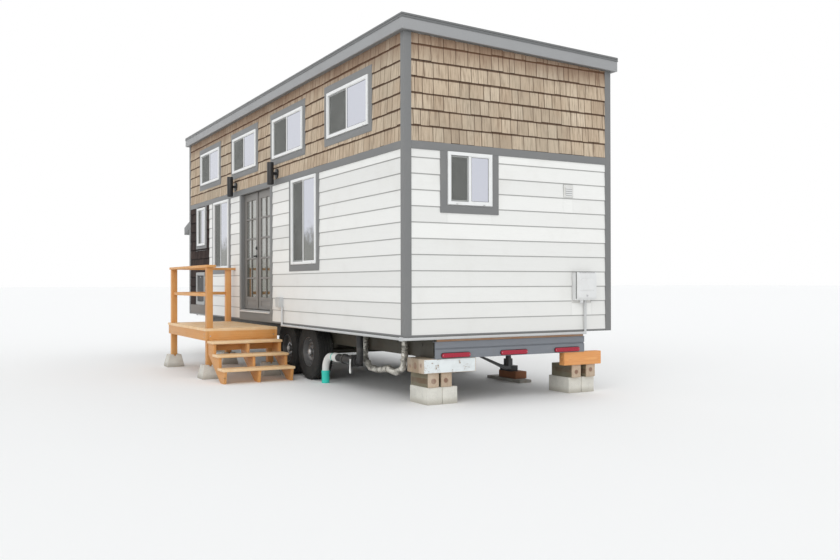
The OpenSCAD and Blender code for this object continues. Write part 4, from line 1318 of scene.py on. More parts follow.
class Cladding:
    """Courses of boards or shingles on the faces of the house, cut round its openings."""

    def __init__(self, course: Course, material: Material, seed: int) -> None:
        """Start with no pieces.

        Args:
            course: Sizes of the cladding.
            material: Its finish.
            seed: Seed of the joints and tones.
        """
        self.course = course
        self.material = material
        self.seed = seed
        self.rng = random.Random(seed)
        self.rows: dict[str, list] = {"base": [], "size": [], "tip": [], "lift": [], "along": [], "out": []}

    def lay(self, face: Face, a0: float, a1: float, z0: float, z1: float, holes: Sequence[Span] = ()) -> None:
        """Lay courses on a rectangle of a wall.

        Args:
            face: The wall's face.
            a0: Where the courses start along the wall.
            a1: Where they end.
            z0: Height of the lowest butt.
            z1: Height at which the cladding ends.
            holes: Openings, each as two places along the wall and two heights.
        """
        z = z0
        while z < z1 - LEAST_STRIP:
            top = min(z + self.course.rise + self.course.lap, z1)
            self._row(face, a0, a1, z, top, holes)
            z += self.course.rise

    def _row(self, face: Face, a0: float, a1: float, z: float, top: float, holes: Sequence[Span]) -> None:
        """Lay one course, whole beside the openings and cut down under and over them.

        Args:
            face: The wall's face.
            a0: Where the course starts along the wall.
            a1: Where it ends.
            z: Height of its butts.
            top: Height of its upper edge.
            holes: Openings in the wall.
        """
        hit = sorted(h for h in holes if h[2] < top and h[3] > z and h[0] < a1 and h[1] > a0)
        place = a0
        for b0, b1, low, high in hit:
            self._run(face, place, b0, z, top, z)
            left, right = max(b0, a0), min(b1, a1)
            if low > z + LEAST_STRIP:
                self._run(face, left, right, z, low, z)
            if high < top - LEAST_STRIP:
                self._run(face, left, right, high, top, z)
            place = max(place, b1)
        self._run(face, place, a1, z, top, z)

    def _run(self, face: Face, a0: float, a1: float, low: float, high: float, z: float) -> None:
        """Cut one stretch of a course into boards or shingles of varied width.

        Args:
            face: The wall's face.
            a0: Where the stretch starts along the wall.
            a1: Where it ends.
            low: Height of its lower edge.
            high: Height of its upper edge.
            z: Height of the course's butts.
        """
        course = self.course
        place = a0
        least, most = course.widths
        whole = course.rise + course.lap
        while place < a1 - LEAST_BOARD:
            width = self.rng.uniform(least, most)
            end = min(place + width if a1 - place - width > least * LEAST_REST else a1, a1)
            thick = [course.butt + (course.tip - course.butt) * (h - z) / whole for h in (low, high)]
            self.rows["base"].append(face.at((place + end) / 2, low))
            self.rows["size"].append(Vector((end - place - course.gap, thick[0], high - low)))
            self.rows["tip"].append(thick[1])
            self.rows["lift"].append(low - z)
            self.rows["along"].append(face.along)
            self.rows["out"].append(face.out)
            place = end

    def build(self, tree: CladdingTree, name: str, slot: str) -> None:
        """Build the courses as one piece.

        Args:
            tree: The tree that builds the boards.
            name: Name of the piece.
            slot: Slot of the record, handed on to ride.
        """
        piece = tree.run(
            name, points(self.rows["base"], **self.rows), Material=self.material,
            Upright=self.course.upright, Seed=self.seed, Ragged=self.course.ragged,
        )
        ride(piece, slot)


# The house

AXIS_X, AXIS_Y, AXIS_Z = Vector((1, 0, 0)), Vector((0, 1, 0)), Vector((0, 0, 1))


@dataclass
class Assembly:
    """A part of the house that dresses itself."""

    palette: Palette  # the finishes


@dataclass
class House(Assembly):
    """The house's body: its faces, cladding, walls, trims and roof."""

    laps: Course = Course(COURSE_RISE, 0.03, 0.0125, 0.004, (3.0, 3.7), 0.0015)  # sizes of the lap siding
    # sizes of the cedar shingles
    cedar: Course = Course(COURSE_RISE, 0.03, 0.0165, 0.004, (0.085, 0.20), 0.0038, 0.005, True)
    shake_widths: tuple[float, float] = (0.09, 0.24)  # least and greatest width of a dark shake
    sheet: Course = Course(0.6, 0.0, 0.0012, 0.0012, (1.0, 1.5), 0.0)  # sizes of the paper under the siding
    backing: float = 0.005  # thickness of the backing under the shingles
    band: float = 0.088  # height of the belly band
    foot: float = 0.024  # height of the lowest butt over the walls' foot
    shake_reach: float = 3.13  # distance from the house's middle to the end of the shakes
    shake_foot: tuple[float, float] = (0.164, 0.016)  # height and thickness of the board under the shakes
    cut_round: tuple[str, ...] = (  # nodes that the cladding is cut round
        "window_frames", "door_casing", "utility_hatch", "closet", "closet_roof", "power_box", "vent",
    )
    margin: float = 0.003  # gap between an opening and the cladding round it
    strips: int = 18  # number of narrow strips that end a wall under a sloping roof
    corner: tuple[float, float] = (0.065, 0.017)  # width and thickness of the closet's corner boards
    felt: float = 0.003  # thickness of the roof's felt
    felt_inset: float = 0.03  # distance of the felt from the roof's edges
    nailed: tuple[tuple[str, float], ...] = (  # nodes that are nailed, each with the pitch of its nails
        ("corner_boards", 0.4), ("window_trim", 0.3), ("door_casing", 0.4), ("wall_bands", 0.6),
    )
    nail: tuple[float, float] = (0.0032, 0.0008)  # radius of a nail's head and twice its height

    def __post_init__(self) -> None:
        """Take the walls' planes from the CAD."""
        walls, front = Box.of("back_wall"), Box.of("front_wall_left")
        self.low = Vector((walls.low.x, front.low.y, front.low.z))
        self.high = Vector((walls.high.x, walls.high.y, front.high.z))
        self.back_high = walls.high.z
        self.front = Face(Vector((0, self.low.y, 0)), AXIS_X, -AXIS_Y)
        self.back = Face(Vector((0, self.high.y, 0)), -AXIS_X, AXIS_Y)
        self.rear = Face(Vector((self.high.x, 0, 0)), AXIS_Y, AXIS_X)
        self.tongue = Face(Vector((self.low.x, 0, 0)), -AXIS_Y, -AXIS_X)
        self.band_top = Box.of("wall_bands").high.z
        self.band_low = self.band_top - self.band
        self.base = self.low.z + self.foot
        self.split = Box.of("corner_boards").middle.x - self.shake_reach

    def openings(self, face: Face) -> list[Span]:
        """Find what the cladding of a face leaves free.

        Args:
            face: The face.

        Returns:
            The spans of its windows, doorway, hatch, closet and boxes, each with its margin.
        """
        spans = []
        for node in self.cut_round:
            for box in solid_boxes(node):
                near, far = sorted((face.depth(box.low), face.depth(box.high)))
                if near < 0.01 and far > -0.01 and far - near < 1.0:
                    spans.append(shrunk(face.span(box), -self.margin))
        return spans

    def clad(self) -> None:
        """Lay the lap siding, cedar shingles and dark shakes."""
        tree, paint = CladdingTree(), self.palette
        laps = Cladding(self.laps, paint.siding, 3)
        cedar = Cladding(self.cedar, paint.cedar, 5)
        shakes = Cladding(replace(self.cedar, widths=self.shake_widths), paint.shake, 8)
        paper = Cladding(self.sheet, paint.paper, 2)
        backing = Cladding(replace(self.sheet, butt=self.backing, tip=self.backing), paint.paper, 2)
        height, thick = self.shake_foot
        for face, a0, a1, top in (
            (self.front, self.low.x, self.high.x, self.high.z),
            (self.back, -self.high.x, -self.low.x, self.back_high - 0.004),
            (self.rear, self.low.y, self.high.y, 0.0),
            (self.tongue, -self.high.y, -self.low.y, 0.0),
        ):
            holes = self.openings(face)
            start = self.split if face is self.front else a0
            laps.lay(face, start, a1, self.base, self.band_low, holes)
            paper.lay(face, a0, a1, self.base, self.band_top, holes)
            if face is self.front:
                shakes.lay(face, a0, start, self.base + height + 0.003, self.band_low, holes)
            for upper in (cedar, backing):
                if top:
                    upper.lay(face, a0, a1, self.band_top, top, holes)
                else:
                    heights = (self.band_top, self.back_high)
                    self._slope(upper, face, (a0, a1), heights, self.under_roof, holes, self.strips)
        self._clad_closet(laps)
        for cladding, name, slot in (
            (laps, "lap_siding", "white_siding"), (cedar, "cedar_shingles", "porch_timber"),
            (shakes, "dark_shakes", "porch_timber"), (paper, "building_paper", "roofing"),
            (backing, "shingle_backing", "roofing"),
        ):
            cladding.build(tree, name, slot)
        board, corner = bmesh.new(), (self.split, self.low.y, self.base + height)
        add_box(board, (self.low.x, self.low.y - thick, self.base), corner)
        fit(board, "shake_foot_board", paint.panel, "grey_trim", seed=1, width=0.002)

    @staticmethod
    def _slope(
        cladding: Cladding, face: Face, along: tuple[float, float], heights: tuple[float, float],
        top_at: Callable[[Vector], float], holes: Sequence[Span], strips: int,
    ) -> None:
        """Clad a wall up to a sloping top: whole courses first, then the last in narrow strips.

        Args:
            cladding: The boards or shingles.
            face: The wall's face.
            along: Where it starts and ends along the wall.
            heights: Its foot and the lowest point of its top.
            top_at: Gives the height of its top at a point of the wall.
            holes: Openings in it.
            strips: Number of the strips.
        """
        (a0, a1), (foot, low) = along, heights
        least = foot
        while least + cladding.course.rise < low - 0.03:
            least += cladding.course.rise
        cladding.lay(face, a0, a1, foot, least, holes)
        for i in range(strips):
            left, right = a0 + (a1 - a0) * i / strips, a0 + (a1 - a0) * (i + 1) / strips
            top = min(top_at(face.at(a, 0.0)) for a in (left, right))
            cladding.lay(face, left, right, least, top - 0.002, holes)

    def _clad_closet(self, laps: Cladding) -> None:
        """Clad the tongue closet with laps and cover its outer corners.

        Args:
            laps: The lap siding.
        """
        x0, x1, y0, y1, z0, _ = Box.of("closet").sides()
        shape = merged("closet")
        outer, inner = (max(v.co.z for v in shape.verts if abs(v.co.x - x) < 0.002) for x in (x0, x1))
        shape.free()
        rise, gap, (wide, thick) = (inner - outer) / (x1 - x0), 0.004, self.corner
        laps.lay(Face(Vector((x0, 0, 0)), -AXIS_Y, -AXIS_X), -y1, -y0, z0, outer - gap)
        for face, along in (
            (Face(Vector((0, y0, 0)), AXIS_X, -AXIS_Y), (x0, self.low.x)),
            (Face(Vector((0, y1, 0)), -AXIS_X, AXIS_Y), (-self.low.x, -x0)),
        ):
            self._slope(laps, face, along, (z0, outer), lambda p: outer + (p.x - x0) * rise - gap, (), 8)
        trims, top = bmesh.new(), outer - 0.003
        for low, high in ((y0 - thick, y0 + wide), (y1 - wide, y1 + thick)):
            add_box(trims, (x0 - thick, low, z0), (x0 + 0.001, high, top))
        for low, high in ((y0 - thick, y0 + 0.001), (y1 - 0.001, y1 + thick)):
            add_box(trims, (x0, low, z0), (x0 + wide, high, top))
        fit(trims, "closet_corners", self.palette.trim, "grey_trim", seed=1, width=0.002)

    def under_roof(self, point: Vector) -> float:
        """Return the height of the roof's underside over a point."""
        share = (point.y - self.low.y) / (self.high.y - self.low.y)
        return self.high.z + (self.back_high - self.high.z - 0.005) * share

    def dress_body(self) -> None:
        """Dress the walls, trims, closet and roof."""
        paint = self.palette
        for side in ("front_wall_left", "front_wall_right", "front_wall_at_door", "back_wall"):
            dress(side, paint.plaster, 0.0)
        for end in ("rear_end_wall", "tongue_end_wall"):
            dress(end, paint.plaster, 0.0)
        dress("floor_frame", paint.sub_floor, 0.003)
        dress("floor_deck", paint.floor, 0.002, along=Grain.X)
        dress("roof_deck", paint.trim, 0.0, along=Grain.X)
        for seed, node in enumerate(("corner_boards", "wall_bands", "window_trim", "door_casing")):
            dress(node, paint.trim, 0.0025, seed=seed)
        dress("fascia", paint.fascia, 0.002)
        dress("roof_covering", paint.drip, 0.003)
        dress("closet", paint.closet, 0.004, along=Grain.Y)
        dress("closet_roof", paint.trim, 0.006)
        self._roof_felt()
        self._rear_board()

    def _roof_felt(self) -> None:
        """Lay felt on the roof's top and a rolled hem and a seam along its drip edge."""
        x0, x1, y0, y1, _, _ = Box.of("roof_covering").sides()
        shape = merged("roof_covering")
        low, high = (max(v.co.z for v in shape.verts if abs(v.co.y - y) < 0.001) for y in (y0, y1))
        shape.free()
        felt, inset = bmesh.new(), self.felt_inset
        lower = [
            felt.verts.new((x, y, z))
            for y, z in ((y0 + inset, low), (y1 - inset, high))
            for x in (x0 + inset, x1 - inset)
        ]
        upper = [felt.verts.new(v.co + AXIS_Z * self.felt) for v in lower]
        for a, b in ((0, 1), (1, 3), (3, 2), (2, 0)):
            felt.faces.new((lower[a], lower[b], upper[b], upper[a]))
        felt.faces.new((upper[0], upper[1], upper[3], upper[2]))
        felt.faces.new((lower[2], lower[3], lower[1], lower[0]))
        fit(felt, "roof_felt", self.palette.felt, "roofing", seed=1)
        corners = [Vector(c) for c in ((x0, y0, low), (x1, y0, low), (x1, y1, high), (x0, y1, high))]
        for name, drop, radius, material in (
            ("drip_hem", 0.047, 0.0035, self.palette.drip), ("drip_seam", 0.024, 0.0022, self.palette.gasket),
        ):
            shape = bmesh.new()
            for start, end in zip(corners, [*corners[1:], corners[0]]):
                add_tube(shape, start - AXIS_Z * drop, end - AXIS_Z * drop, radius, 8)
            fit(shape, name, material, "roofing")

    def _rear_board(self) -> None:
        """Face the floor's rear end with the raw board that shows over the beam."""
        floor, beam, shape = Box.of("floor_frame"), Box.of("rear_beam"), bmesh.new()
        low = (floor.high.x - 0.002, beam.low.y + 0.02, floor.low.z)
        add_box(shape, low, (floor.high.x + 0.004, beam.high.y - 0.02, self.low.z - 0.001))
        board = self.palette.edge_board
        fit(shape, "rear_floor_board", board, "framing_timber", seed=1, width=0.001, segments=1)

    def nail_trims(self) -> None:
        """Fix the trims with nails, in pairs across each board."""
        spots = []
        for node, pitch in self.nailed:
            for box in solid_boxes(node):
                for face in (self.front, self.back, self.rear, self.tongue):
                    depth = max(face.depth(box.low), face.depth(box.high))
                    a0, a1, z0, z1 = face.span(box)
                    across, length = sorted((a1 - a0, z1 - z0))
                    if not 0.012 < depth < 0.03 or across > 0.2 or length < 0.2:
                        continue
                    for t in spread(0.04, length - 0.08, max(2, round(length / pitch))):
                        for side in (0.22, 0.78):
                            if z1 - z0 > a1 - a0:
                                place = face.at(a0 + across * side, z0 + t, depth)
                            else:
                                place = face.at(a0 + t, z0 + across * side, depth)
                            spots.append((place, face.out))
        FastenerTree().lay("trim_nails", spots, *self.nail, self.palette.trim, "grey_trim")


class FastenerTree(Geo):
    """Sets a domed head on each point, facing out along the point's own vector."""

    def __init__(self) -> None:
        """Build the tree."""
        super().__init__("fasteners", Radius=("Float", 0.004), Height=("Float", 0.001), Sides=("Int", 10))
        head = self.add("GeometryNodeMeshCylinder", inputs={
            "Vertices": self.given("Sides"), "Radius": self.given("Radius"), "Depth": self.given("Height"),
        })
        out = {"Vector": self.named("out", "FLOAT_VECTOR")}
        turn = self.add("FunctionNodeAlignRotationToVector", {"axis": "Z"}, out)
        self.end(self.add("GeometryNodeInstanceOnPoints", inputs={
            "Points": self.given("Geometry"), "Instance": head, "Rotation": turn,
        }))

    def lay(
        self, name: str, spots: Sequence[tuple[Vector, Vector]], radius: float, height: float,
        material: Material, slot: str, body: str = "root", sides: int = 10,
    ) -> None:
        """Set heads as one piece.

        Args:
            name: Name of the piece.
            spots: Where each head stands and the way that it faces.
            radius: Radius of a head.
            height: Twice what a head stands out by.
            material: Finish of the heads.
            slot: Slot of the record, handed on to ride.
            body: The body that they ride on.
            sides: Number of a head's sides, 6 for a bolt.
        """
        places, facing = zip(*spots)
        given = {"Material": material, "Radius": radius, "Height": height, "Sides": sides}
        ride(self.run(name, points(places, out=facing), **given), slot, body)


# Windows


@dataclass
class Windows(Assembly):
    """The sliding windows: frames, sashes, screens, gaskets, a ring of painted shade round each screen, and
    latches.
    """

    house: House  # the house that they stand in
    rim: float = 0.038  # width of the outer frame
    sash: float = 0.032  # width of the sliding pane's own frame
    bead: float = 0.009  # width of the bead round the fixed pane
    seal: float = 0.0045  # width of each seal, and of the ring of painted shade round each screen
    screen_rim: float = 0.012  # width of the screen's rim
    slot: float = 0.03  # length of a weep slot
    latch: tuple[float, float] = (0.022, 0.06)  # width and height of a latch

    def build(self) -> None:
        """Dress the frames and glass and add the small parts."""
        paint = self.palette
        dress("window_frames", paint.vinyl, 0.0022)
        dress("window_glass", paint.sky_glass, 0.0, keep=self._fixed, name="fixed_panes")
        dress("window_glass", paint.glass, 0.0, keep=lambda box: not self._fixed(box), name="sliding_panes")
        shapes = [bmesh.new() for _ in range(4)]
        for box in solid_boxes("window_frames"):
            face = self._face(box)
            self._fit(face, face.span(box), *shapes)
        for shape, name, material, slot in zip(
            shapes,
            ("window_seals_and_shade_ring", "screen_rims", "window_screens", "window_latches"),
            (paint.gasket, paint.screen_rim, paint.screen, paint.vinyl),
            ("black_metal", "sill_alloy", "black_metal", "window_vinyl"),
        ):
            fit(shape, name, material, slot)

    def _face(self, box: Box) -> Face:
        """Return the face of the house that a box lies in."""
        faces = (self.house.front, self.house.back, self.house.rear)
        return min(faces, key=lambda face: abs(face.depth(box.middle)))

    def _fixed(self, box: Box) -> bool:
        """Say whether a pane is a fixed one, which stands out of the wall's face."""
        face = self._face(box)
        return max(face.depth(box.low), face.depth(box.high)) > 0.0

    def _fit(self, face: Face, span: Span, seals: Shape, rims: Shape, nets: Shape, locks: Shape) -> None:
        """Fit one window with seals, a screen over its sliding half with a ring of painted shade round it,
        weep slots and a latch.

        Args:
            face: The face of the house that it is in.
            span: Its reach on that face.
            seals: The mesh of the seals, the slots and the ring of painted shade.
            rims: The mesh of the screens' rims.
            nets: The mesh of the screens.
            locks: The mesh of the latches.
        """
        a0, a1, z0, z1 = span
        middle, height, half = (a0 + a1) / 2, (z0 + z1) / 2, self.sash / 2
        inner = shrunk(span, self.rim)
        sliding, fixed = shrunk(inner, self.sash), shrunk(inner, self.bead)
        for pane, depth in (
            ((sliding[0], middle - half, *sliding[2:]), -0.012), ((middle + half, *fixed[1:]), 0.018),
        ):
            face.ring(seals, shrunk(pane, -0.001), self.seal, depth - 0.001, depth + 0.0025)
        net = shrunk((inner[0], middle - half, *inner[2:]), 0.001)
        # A black ring round the screen, where the gap between frame and screen lies in shade: painted shade.
        face.ring(seals, net, self.seal, -0.004, 0.004)
        face.ring(rims, shrunk(net, self.seal), self.screen_rim, 0.0, 0.010)
        face.block(nets, shrunk(net, 0.014), 0.0045, 0.0055)
        for at in (a0 + 0.1, a1 - 0.13):
            face.block(seals, (at, at + self.slot, z0 + 0.006, z0 + 0.010), 0.0312, 0.0324)
        wide, tall = (size / 2 for size in self.latch)
        face.block(locks, (middle - wide, middle + wide, height - tall, height + tall), -0.046, -0.034)


# Doors


@dataclass
class Doors(Assembly):
    """The French doors, their glazing beads, weather bars, sill and hardware."""

    bead: float = 0.0045  # width of the beads round the panes
    # depths between which they stand, from the leaf's face
    bead_depths: tuple[float, float] = (0.0125, 0.0045)
    panel_inset: float = 0.112  # distance of the kick panel's frame from the leaf's edges
    # height of its lower and its upper bar over the leaf's foot
    panel_heights: tuple[float, float] = (0.052, 0.142)
    panel_bar: float = 0.008  # width of its bars
    ribs: int = 5  # number of the sill's ribs
    rib_pitch: float = 0.011  # distance from rib to rib
    lock_inset: float = 0.056  # distance of the locks from the leaf's edge
    lock_heights: tuple[float, float] = (1.8, 1.93)  # heights of the locks over the ground
    lock_radius: float = 0.013  # radius of their cylinders

    def build(self) -> None:
        """Dress both leaves and what belongs to them."""
        paint = self.palette
        for side in ("left", "right"):
            body = f"door_{side}"
            dress(f"door_leaf_{side}", paint.door, 0.0025, body, 4, Grain.Z)
            dress(f"door_glass_{side}", paint.door_glass, 0.0, body)
            self._beads(side, body)
        dress("door_jambs", paint.trim, 0.001)
        dress("door_lever", paint.black, 0.0022, "door_left")
        dress("door_sill", paint.alloy, 0.002)
        self._sill()
        self._hardware()

    def _beads(self, side: str, body: str) -> None:
        """Set a bead round each pane, a weather bar at the foot and a frame round the kick panel.

        Args:
            side: The leaf, left or right.
            body: The body that it is.
        """
        x0, x1, y0, y1, foot, _ = Box.of(f"door_leaf_{side}").sides()
        shape, bead = bmesh.new(), self.bead
        for pane in solid_boxes(f"door_glass_{side}"):
            a0, a1, _, _, z0, z1 = pane.sides()
            for y, out in ((y0, -1.0), (y1, 1.0)):
                near, far = sorted(y - out * depth for depth in self.bead_depths)
                add_box(shape, (a0, near, z0), (a1, far, z0 + bead))
                add_box(shape, (a0, near, z1 - bead), (a1, far, z1))
                add_box(shape, (a0, near, z0), (a0 + bead, far, z1))
                add_box(shape, (a1 - bead, near, z0), (a1, far, z1))
        add_box(shape, (x0 + 0.02, y0 - 0.014, foot + 0.012), (x1 - 0.02, y0, foot + 0.03))
        inset, wide, (low, high) = self.panel_inset, self.panel_bar, self.panel_heights
        near, far = y0 - 0.002, y0 + 0.006
        for z in (foot + low, foot + high):
            add_box(shape, (x0 + inset, near, z), (x1 - inset, far, z + wide))
        for x in (x0 + inset, x1 - inset - wide):
            add_box(shape, (x, near, foot + low), (x + wide, far, foot + high + wide))
        fit(shape, f"door_beads_{side}", self.palette.door, "grey_trim", body, seed=6, width=0.0015)

    def _sill(self) -> None:
        """Rib the sill and close the gap under the leaves with a rubber strip."""
        x0, x1, y0, _, _, top = Box.of("door_sill").sides()
        leaf = Box.of("door_leaf_left").low.y
        x0, x1 = x0 + 0.006, x1 - 0.006
        ribs, strip = bmesh.new(), bmesh.new()
        for i in range(self.ribs):
            y = y0 + 0.014 + self.rib_pitch * i
            add_box(ribs, (x0, y, top - 0.001), (x1, y + 0.004, top + 0.0018))
        add_box(strip, (x0, leaf + 0.012, top), (x1, leaf + 0.03, top + 0.004))
        fit(ribs, "sill_ribs", self.palette.alloy, "sill_alloy", width=0.0008, segments=1)
        fit(strip, "sill_seal", self.palette.gasket, "black_metal")

    def _hardware(self) -> None:
        """Add the lock cylinders and the bar that covers the joint of the leaves."""
        _, x1, y0, _, z0, z1 = Box.of("door_leaf_left").sides()
        lever, middle = Box.of("door_lever").low.y, x1 - self.lock_inset
        cylinders, bar = bmesh.new(), bmesh.new()
        for z in self.lock_heights:
            add_tube(cylinders, (middle, lever + 0.03, z), (middle, y0 - 0.002, z), self.lock_radius)
        fit(cylinders, "lock_cylinders", self.palette.black, "black_metal", "door_left")
        add_box(bar, (x1 - 0.022, y0 - 0.011, z0 + 0.004), (x1 + 0.0045, y0, z1 - 0.004))
        fit(bar, "door_astragal", self.palette.door, "grey_trim", "door_left", seed=1, width=0.003)


# The porch


@dataclass
class Porch(Assembly):
    """The porch: framing, decking, rails, steps, their screws and bolts."""

    board: float = 0.038  # thickness of the framing's boards
    depth: float = 0.14  # depth of the rim and the joists
    bays: int = 5  # number of bays between the joists
    cap_screws: int = 7  # number of screws in each cap rail
    screw: tuple[float, float] = (0.0042, 0.0012)  # radius of a screw's head and twice its height
    bolt: tuple[float, float] = (0.009, 0.009)  # the same of a bolt's head

    def build(self) -> None:
        """Dress the porch."""
        paint = self.palette
        self._frame()
        dress("porch_decking", paint.deck, 0.004, seed=12, along=Grain.Y)
        dress("porch_posts", paint.porch, 0.004, seed=3, along=Grain.Z)
        dress("porch_rails", paint.porch, 0.005, seed=9)
        dress("stair_stringers", paint.porch, 0.003, seed=5, along=Grain.X)
        dress("stair_treads", paint.deck, 0.011, seed=21, along=Grain.Y)
        dress("porch_piers", paint.concrete, 0.006)
        self._screws()
        self._bolts()

    def _frame(self) -> None:
        """Build the rim, joists and the board behind the steps as separate boards."""
        x0, x1, y0, y1, z0, top = Box.of("porch_frame").sides()
        thick, low = self.board, top - self.depth
        shape = bmesh.new()
        for y in (y0, y1 - thick):
            add_box(shape, (x0, y, low), (x1, y + thick, top))
        near, far = y0 + thick + 0.001, y1 - thick - 0.001
        for x in (x0, x1 - thick):
            add_box(shape, (x, near, low), (x + thick, far, top))
        for i in range(1, self.bays):
            x = x0 + i * (x1 - x0) / self.bays
            add_box(shape, (x - thick / 2, near, low), (x + thick / 2, far, top - 0.001))
        add_box(shape, (x1 - thick, near + 0.001, z0), (x1, far - 0.001, low - 0.002))
        porch = self.palette.porch
        fit(shape, "porch_framing", porch, "porch_timber", "root", "porch_frame", seed=7, width=0.003)

    def _screws(self) -> None:
        """Drive screws through the decking, the treads and the cap rails."""
        places = []
        for board in solid_boxes("porch_decking"):
            x0, x1, y0, y1, _, top = board.sides()
            for x in (x0 + 0.03, x1 - 0.03):
                places += [(x, y, top) for y in (y0 + 0.035, (y0 + y1) / 2, y1 - 0.035)]
        for tread in solid_boxes("stair_treads"):
            x0, x1, y0, y1, _, top = tread.sides()
            for y in (y0 + 0.045, (y0 + y1) / 2, y1 - 0.045):
                places += [(x, y, top) for x in (x0 + 0.05, x1 - 0.07)]
        for cap in solid_boxes("porch_rails"):
            if cap.size.z < 0.045:
                axis = 0 if cap.size.x > cap.size.y else 1
                for at in spread(cap.low[axis] + 0.06, cap.size[axis] - 0.12, self.cap_screws):
                    spot = [*cap.middle.xy, cap.high.z]
                    spot[axis] = at
                    places.append(spot)
        spots = [(Vector(place), AXIS_Z) for place in places]
        FastenerTree().lay("deck_screws", spots, *self.screw, self.palette.black, "black_metal")

    def _bolts(self) -> None:
        """Bolt the posts to the front rim, and the rims at the steps' end to each other."""
        _, x1, y0, y1, _, top = Box.of("porch_frame").sides()
        spots = []
        for post in solid_boxes("porch_posts"):
            if abs(post.low.y - y0) < 0.05:
                spots += [(Vector((post.middle.x, y0, top - drop)), -AXIS_Y) for drop in (0.045, 0.095)]
        spots += [(Vector((x1, y, top - 0.07)), AXIS_X) for y in (y0 + 0.06, y1 - 0.06)]
        FastenerTree().lay("rim_bolts", spots, *self.bolt, self.palette.chrome, "rim_steel", sides=6)


# The trailer


def lathe(shape: Shape, profile: Sequence[tuple[float, float]], sides: int, matrix: Matrix) -> None:
    """Turn a closed profile about Y and add it to a mesh.

    Args:
        shape: The mesh.
        profile: The radius and the place along Y of each of its points.
        sides: Number of steps round the turn.
        matrix: Moves the turned body to its place.
    """
    rings = []
    for turn in turns(sides):
        spots = (Vector((r * math.sin(turn), y, r * math.cos(turn))) for r, y in profile)
        rings.append([shape.verts.new(matrix @ spot) for spot in spots])
    for k in range(sides):
        one, two = rings[k], rings[(k + 1) % sides]
        for i in range(len(profile)):
            j = (i + 1) % len(profile)
            shape.faces.new((one[i], one[j], two[j], two[i]))


class TreadTree(Geo):
    """Sets sheared blocks round a tyre's tread, each turned to its place on the circle."""

    def __init__(self) -> None:
        """Build the tree."""
        super().__init__("tread_blocks", Size=("Vector", (0.03, 0.034, 0.008)))
        block = self.add("GeometryNodeMeshCube", inputs={"Size": self.given("Size")})
        turn = self.named("turn", "FLOAT_VECTOR")
        self.end(self.add("GeometryNodeInstanceOnPoints", inputs={
            "Points": self.given("Geometry"), "Instance": block, "Rotation": turn,
        }))


@dataclass
class RunningGear(Assembly):
    """The trailer's frame, springs, axles and lights."""

    stub: float = 0.025  # radius inside which the ends of the axles are eased
    ease: float = 0.04  # share by which they are eased
    ribs: int = 26  # number of ribs on each light
    bezel: float = 0.0035  # radius of the bezel's rod
    web_bolts: int = 15  # number of bolts in each rail's web
    bolt: tuple[float, float] = (0.012, 0.014)  # radius of a bolt's head and twice its height

    def build(self) -> None:
        """Dress the trailer."""
        for node in ("rail_front", "rail_back", "crossmembers", "tongue_rails", "leaf_springs", "coupler"):
            dress(node, self.palette.steel, 0.002)
        self._axles()
        dress("tongue_jack", self.palette.black, 0.003)
        dress("rear_beam", self.palette.beam, 0.004)
        self._lights()
        self._bolts()

    def _axles(self) -> None:
        """Dress the axles and ease their stubs, so that the rims turn free on them."""
        piece = dress("axles", self.palette.steel, 0.002)
        wheels = [Box.of(f"tyre_{side}_{end}") for side in ("front", "back") for end in "ab"]
        for vertex in piece.data.vertices:
            for wheel in wheels:
                away = vertex.co - wheel.middle
                away.y = 0.0
                if away.length < self.stub and wheel.low.y < vertex.co.y < wheel.high.y:
                    vertex.co -= away * self.ease

    def _lights(self) -> None:
        """Dress the oval lights with ribs, and give each a bezel and two screws."""
        paint = self.palette
        dress("marker_lights", paint.lamp, 0.007)
        ribs, bezels, spots = bmesh.new(), bmesh.new(), []
        for box in solid_boxes("marker_lights"):
            _, x1, y0, _, z0, z1 = box.sides()
            middle = box.middle
            for y in spread(y0 + 0.03, box.size.y - 0.06, self.ribs):
                add_box(ribs, (x1 - 0.002, y - 0.0022, z0 + 0.006), (x1 + 0.0018, y + 0.0022, z1 - 0.006))
            loop = []
            radius, half = box.size.z / 2 + 0.003, box.size.y / 2 - box.size.z / 2
            for turn in turns(32):
                shift = half if math.cos(turn) >= 0 else -half
                across = middle.y + shift + radius * math.cos(turn)
                loop.append((x1 - 0.015, across, middle.z + radius * math.sin(turn)))
            add_pipe(bezels, [*loop, loop[0]], self.bezel, 8)
            spots += [(Vector((x1, middle.y + s * (half + 0.012), middle.z)), AXIS_X) for s in (-1, 1)]
        fit(ribs, "light_ribs", paint.lamp, "lamp_red", width=0.001, segments=1)
        fit(bezels, "light_bezels", paint.black_plastic, "black_metal")
        FastenerTree().lay("light_screws", spots, 0.004, 0.003, paint.chrome, "rim_steel")

    def _bolts(self) -> None:
        """Set the springs' shackle bolts, and bolts through the rails' webs."""
        spots, middle = [], Box.of("axles").middle.y
        for box in solid_boxes("leaf_springs"):
            x0, x1, y0, y1, _, top = box.sides()
            y, out = (y0, -AXIS_Y) if box.middle.y < middle else (y1, AXIS_Y)
            spots += [(Vector((x, y, top - 0.035)), out) for x in (x0 + 0.03, x1 - 0.03)]
        for node in ("rail_front", "rail_back"):
            box = Box.of(node)
            y, out = (box.low.y, -AXIS_Y) if node == "rail_front" else (box.high.y, AXIS_Y)
            for x in spread(box.low.x + 0.25, box.size.x - 0.5, self.web_bolts):
                spots.append((Vector((x, y, box.middle.z + 0.045)), out))
        FastenerTree().lay("frame_bolts", spots, *self.bolt, self.palette.steel, "steel_frame", sides=6)


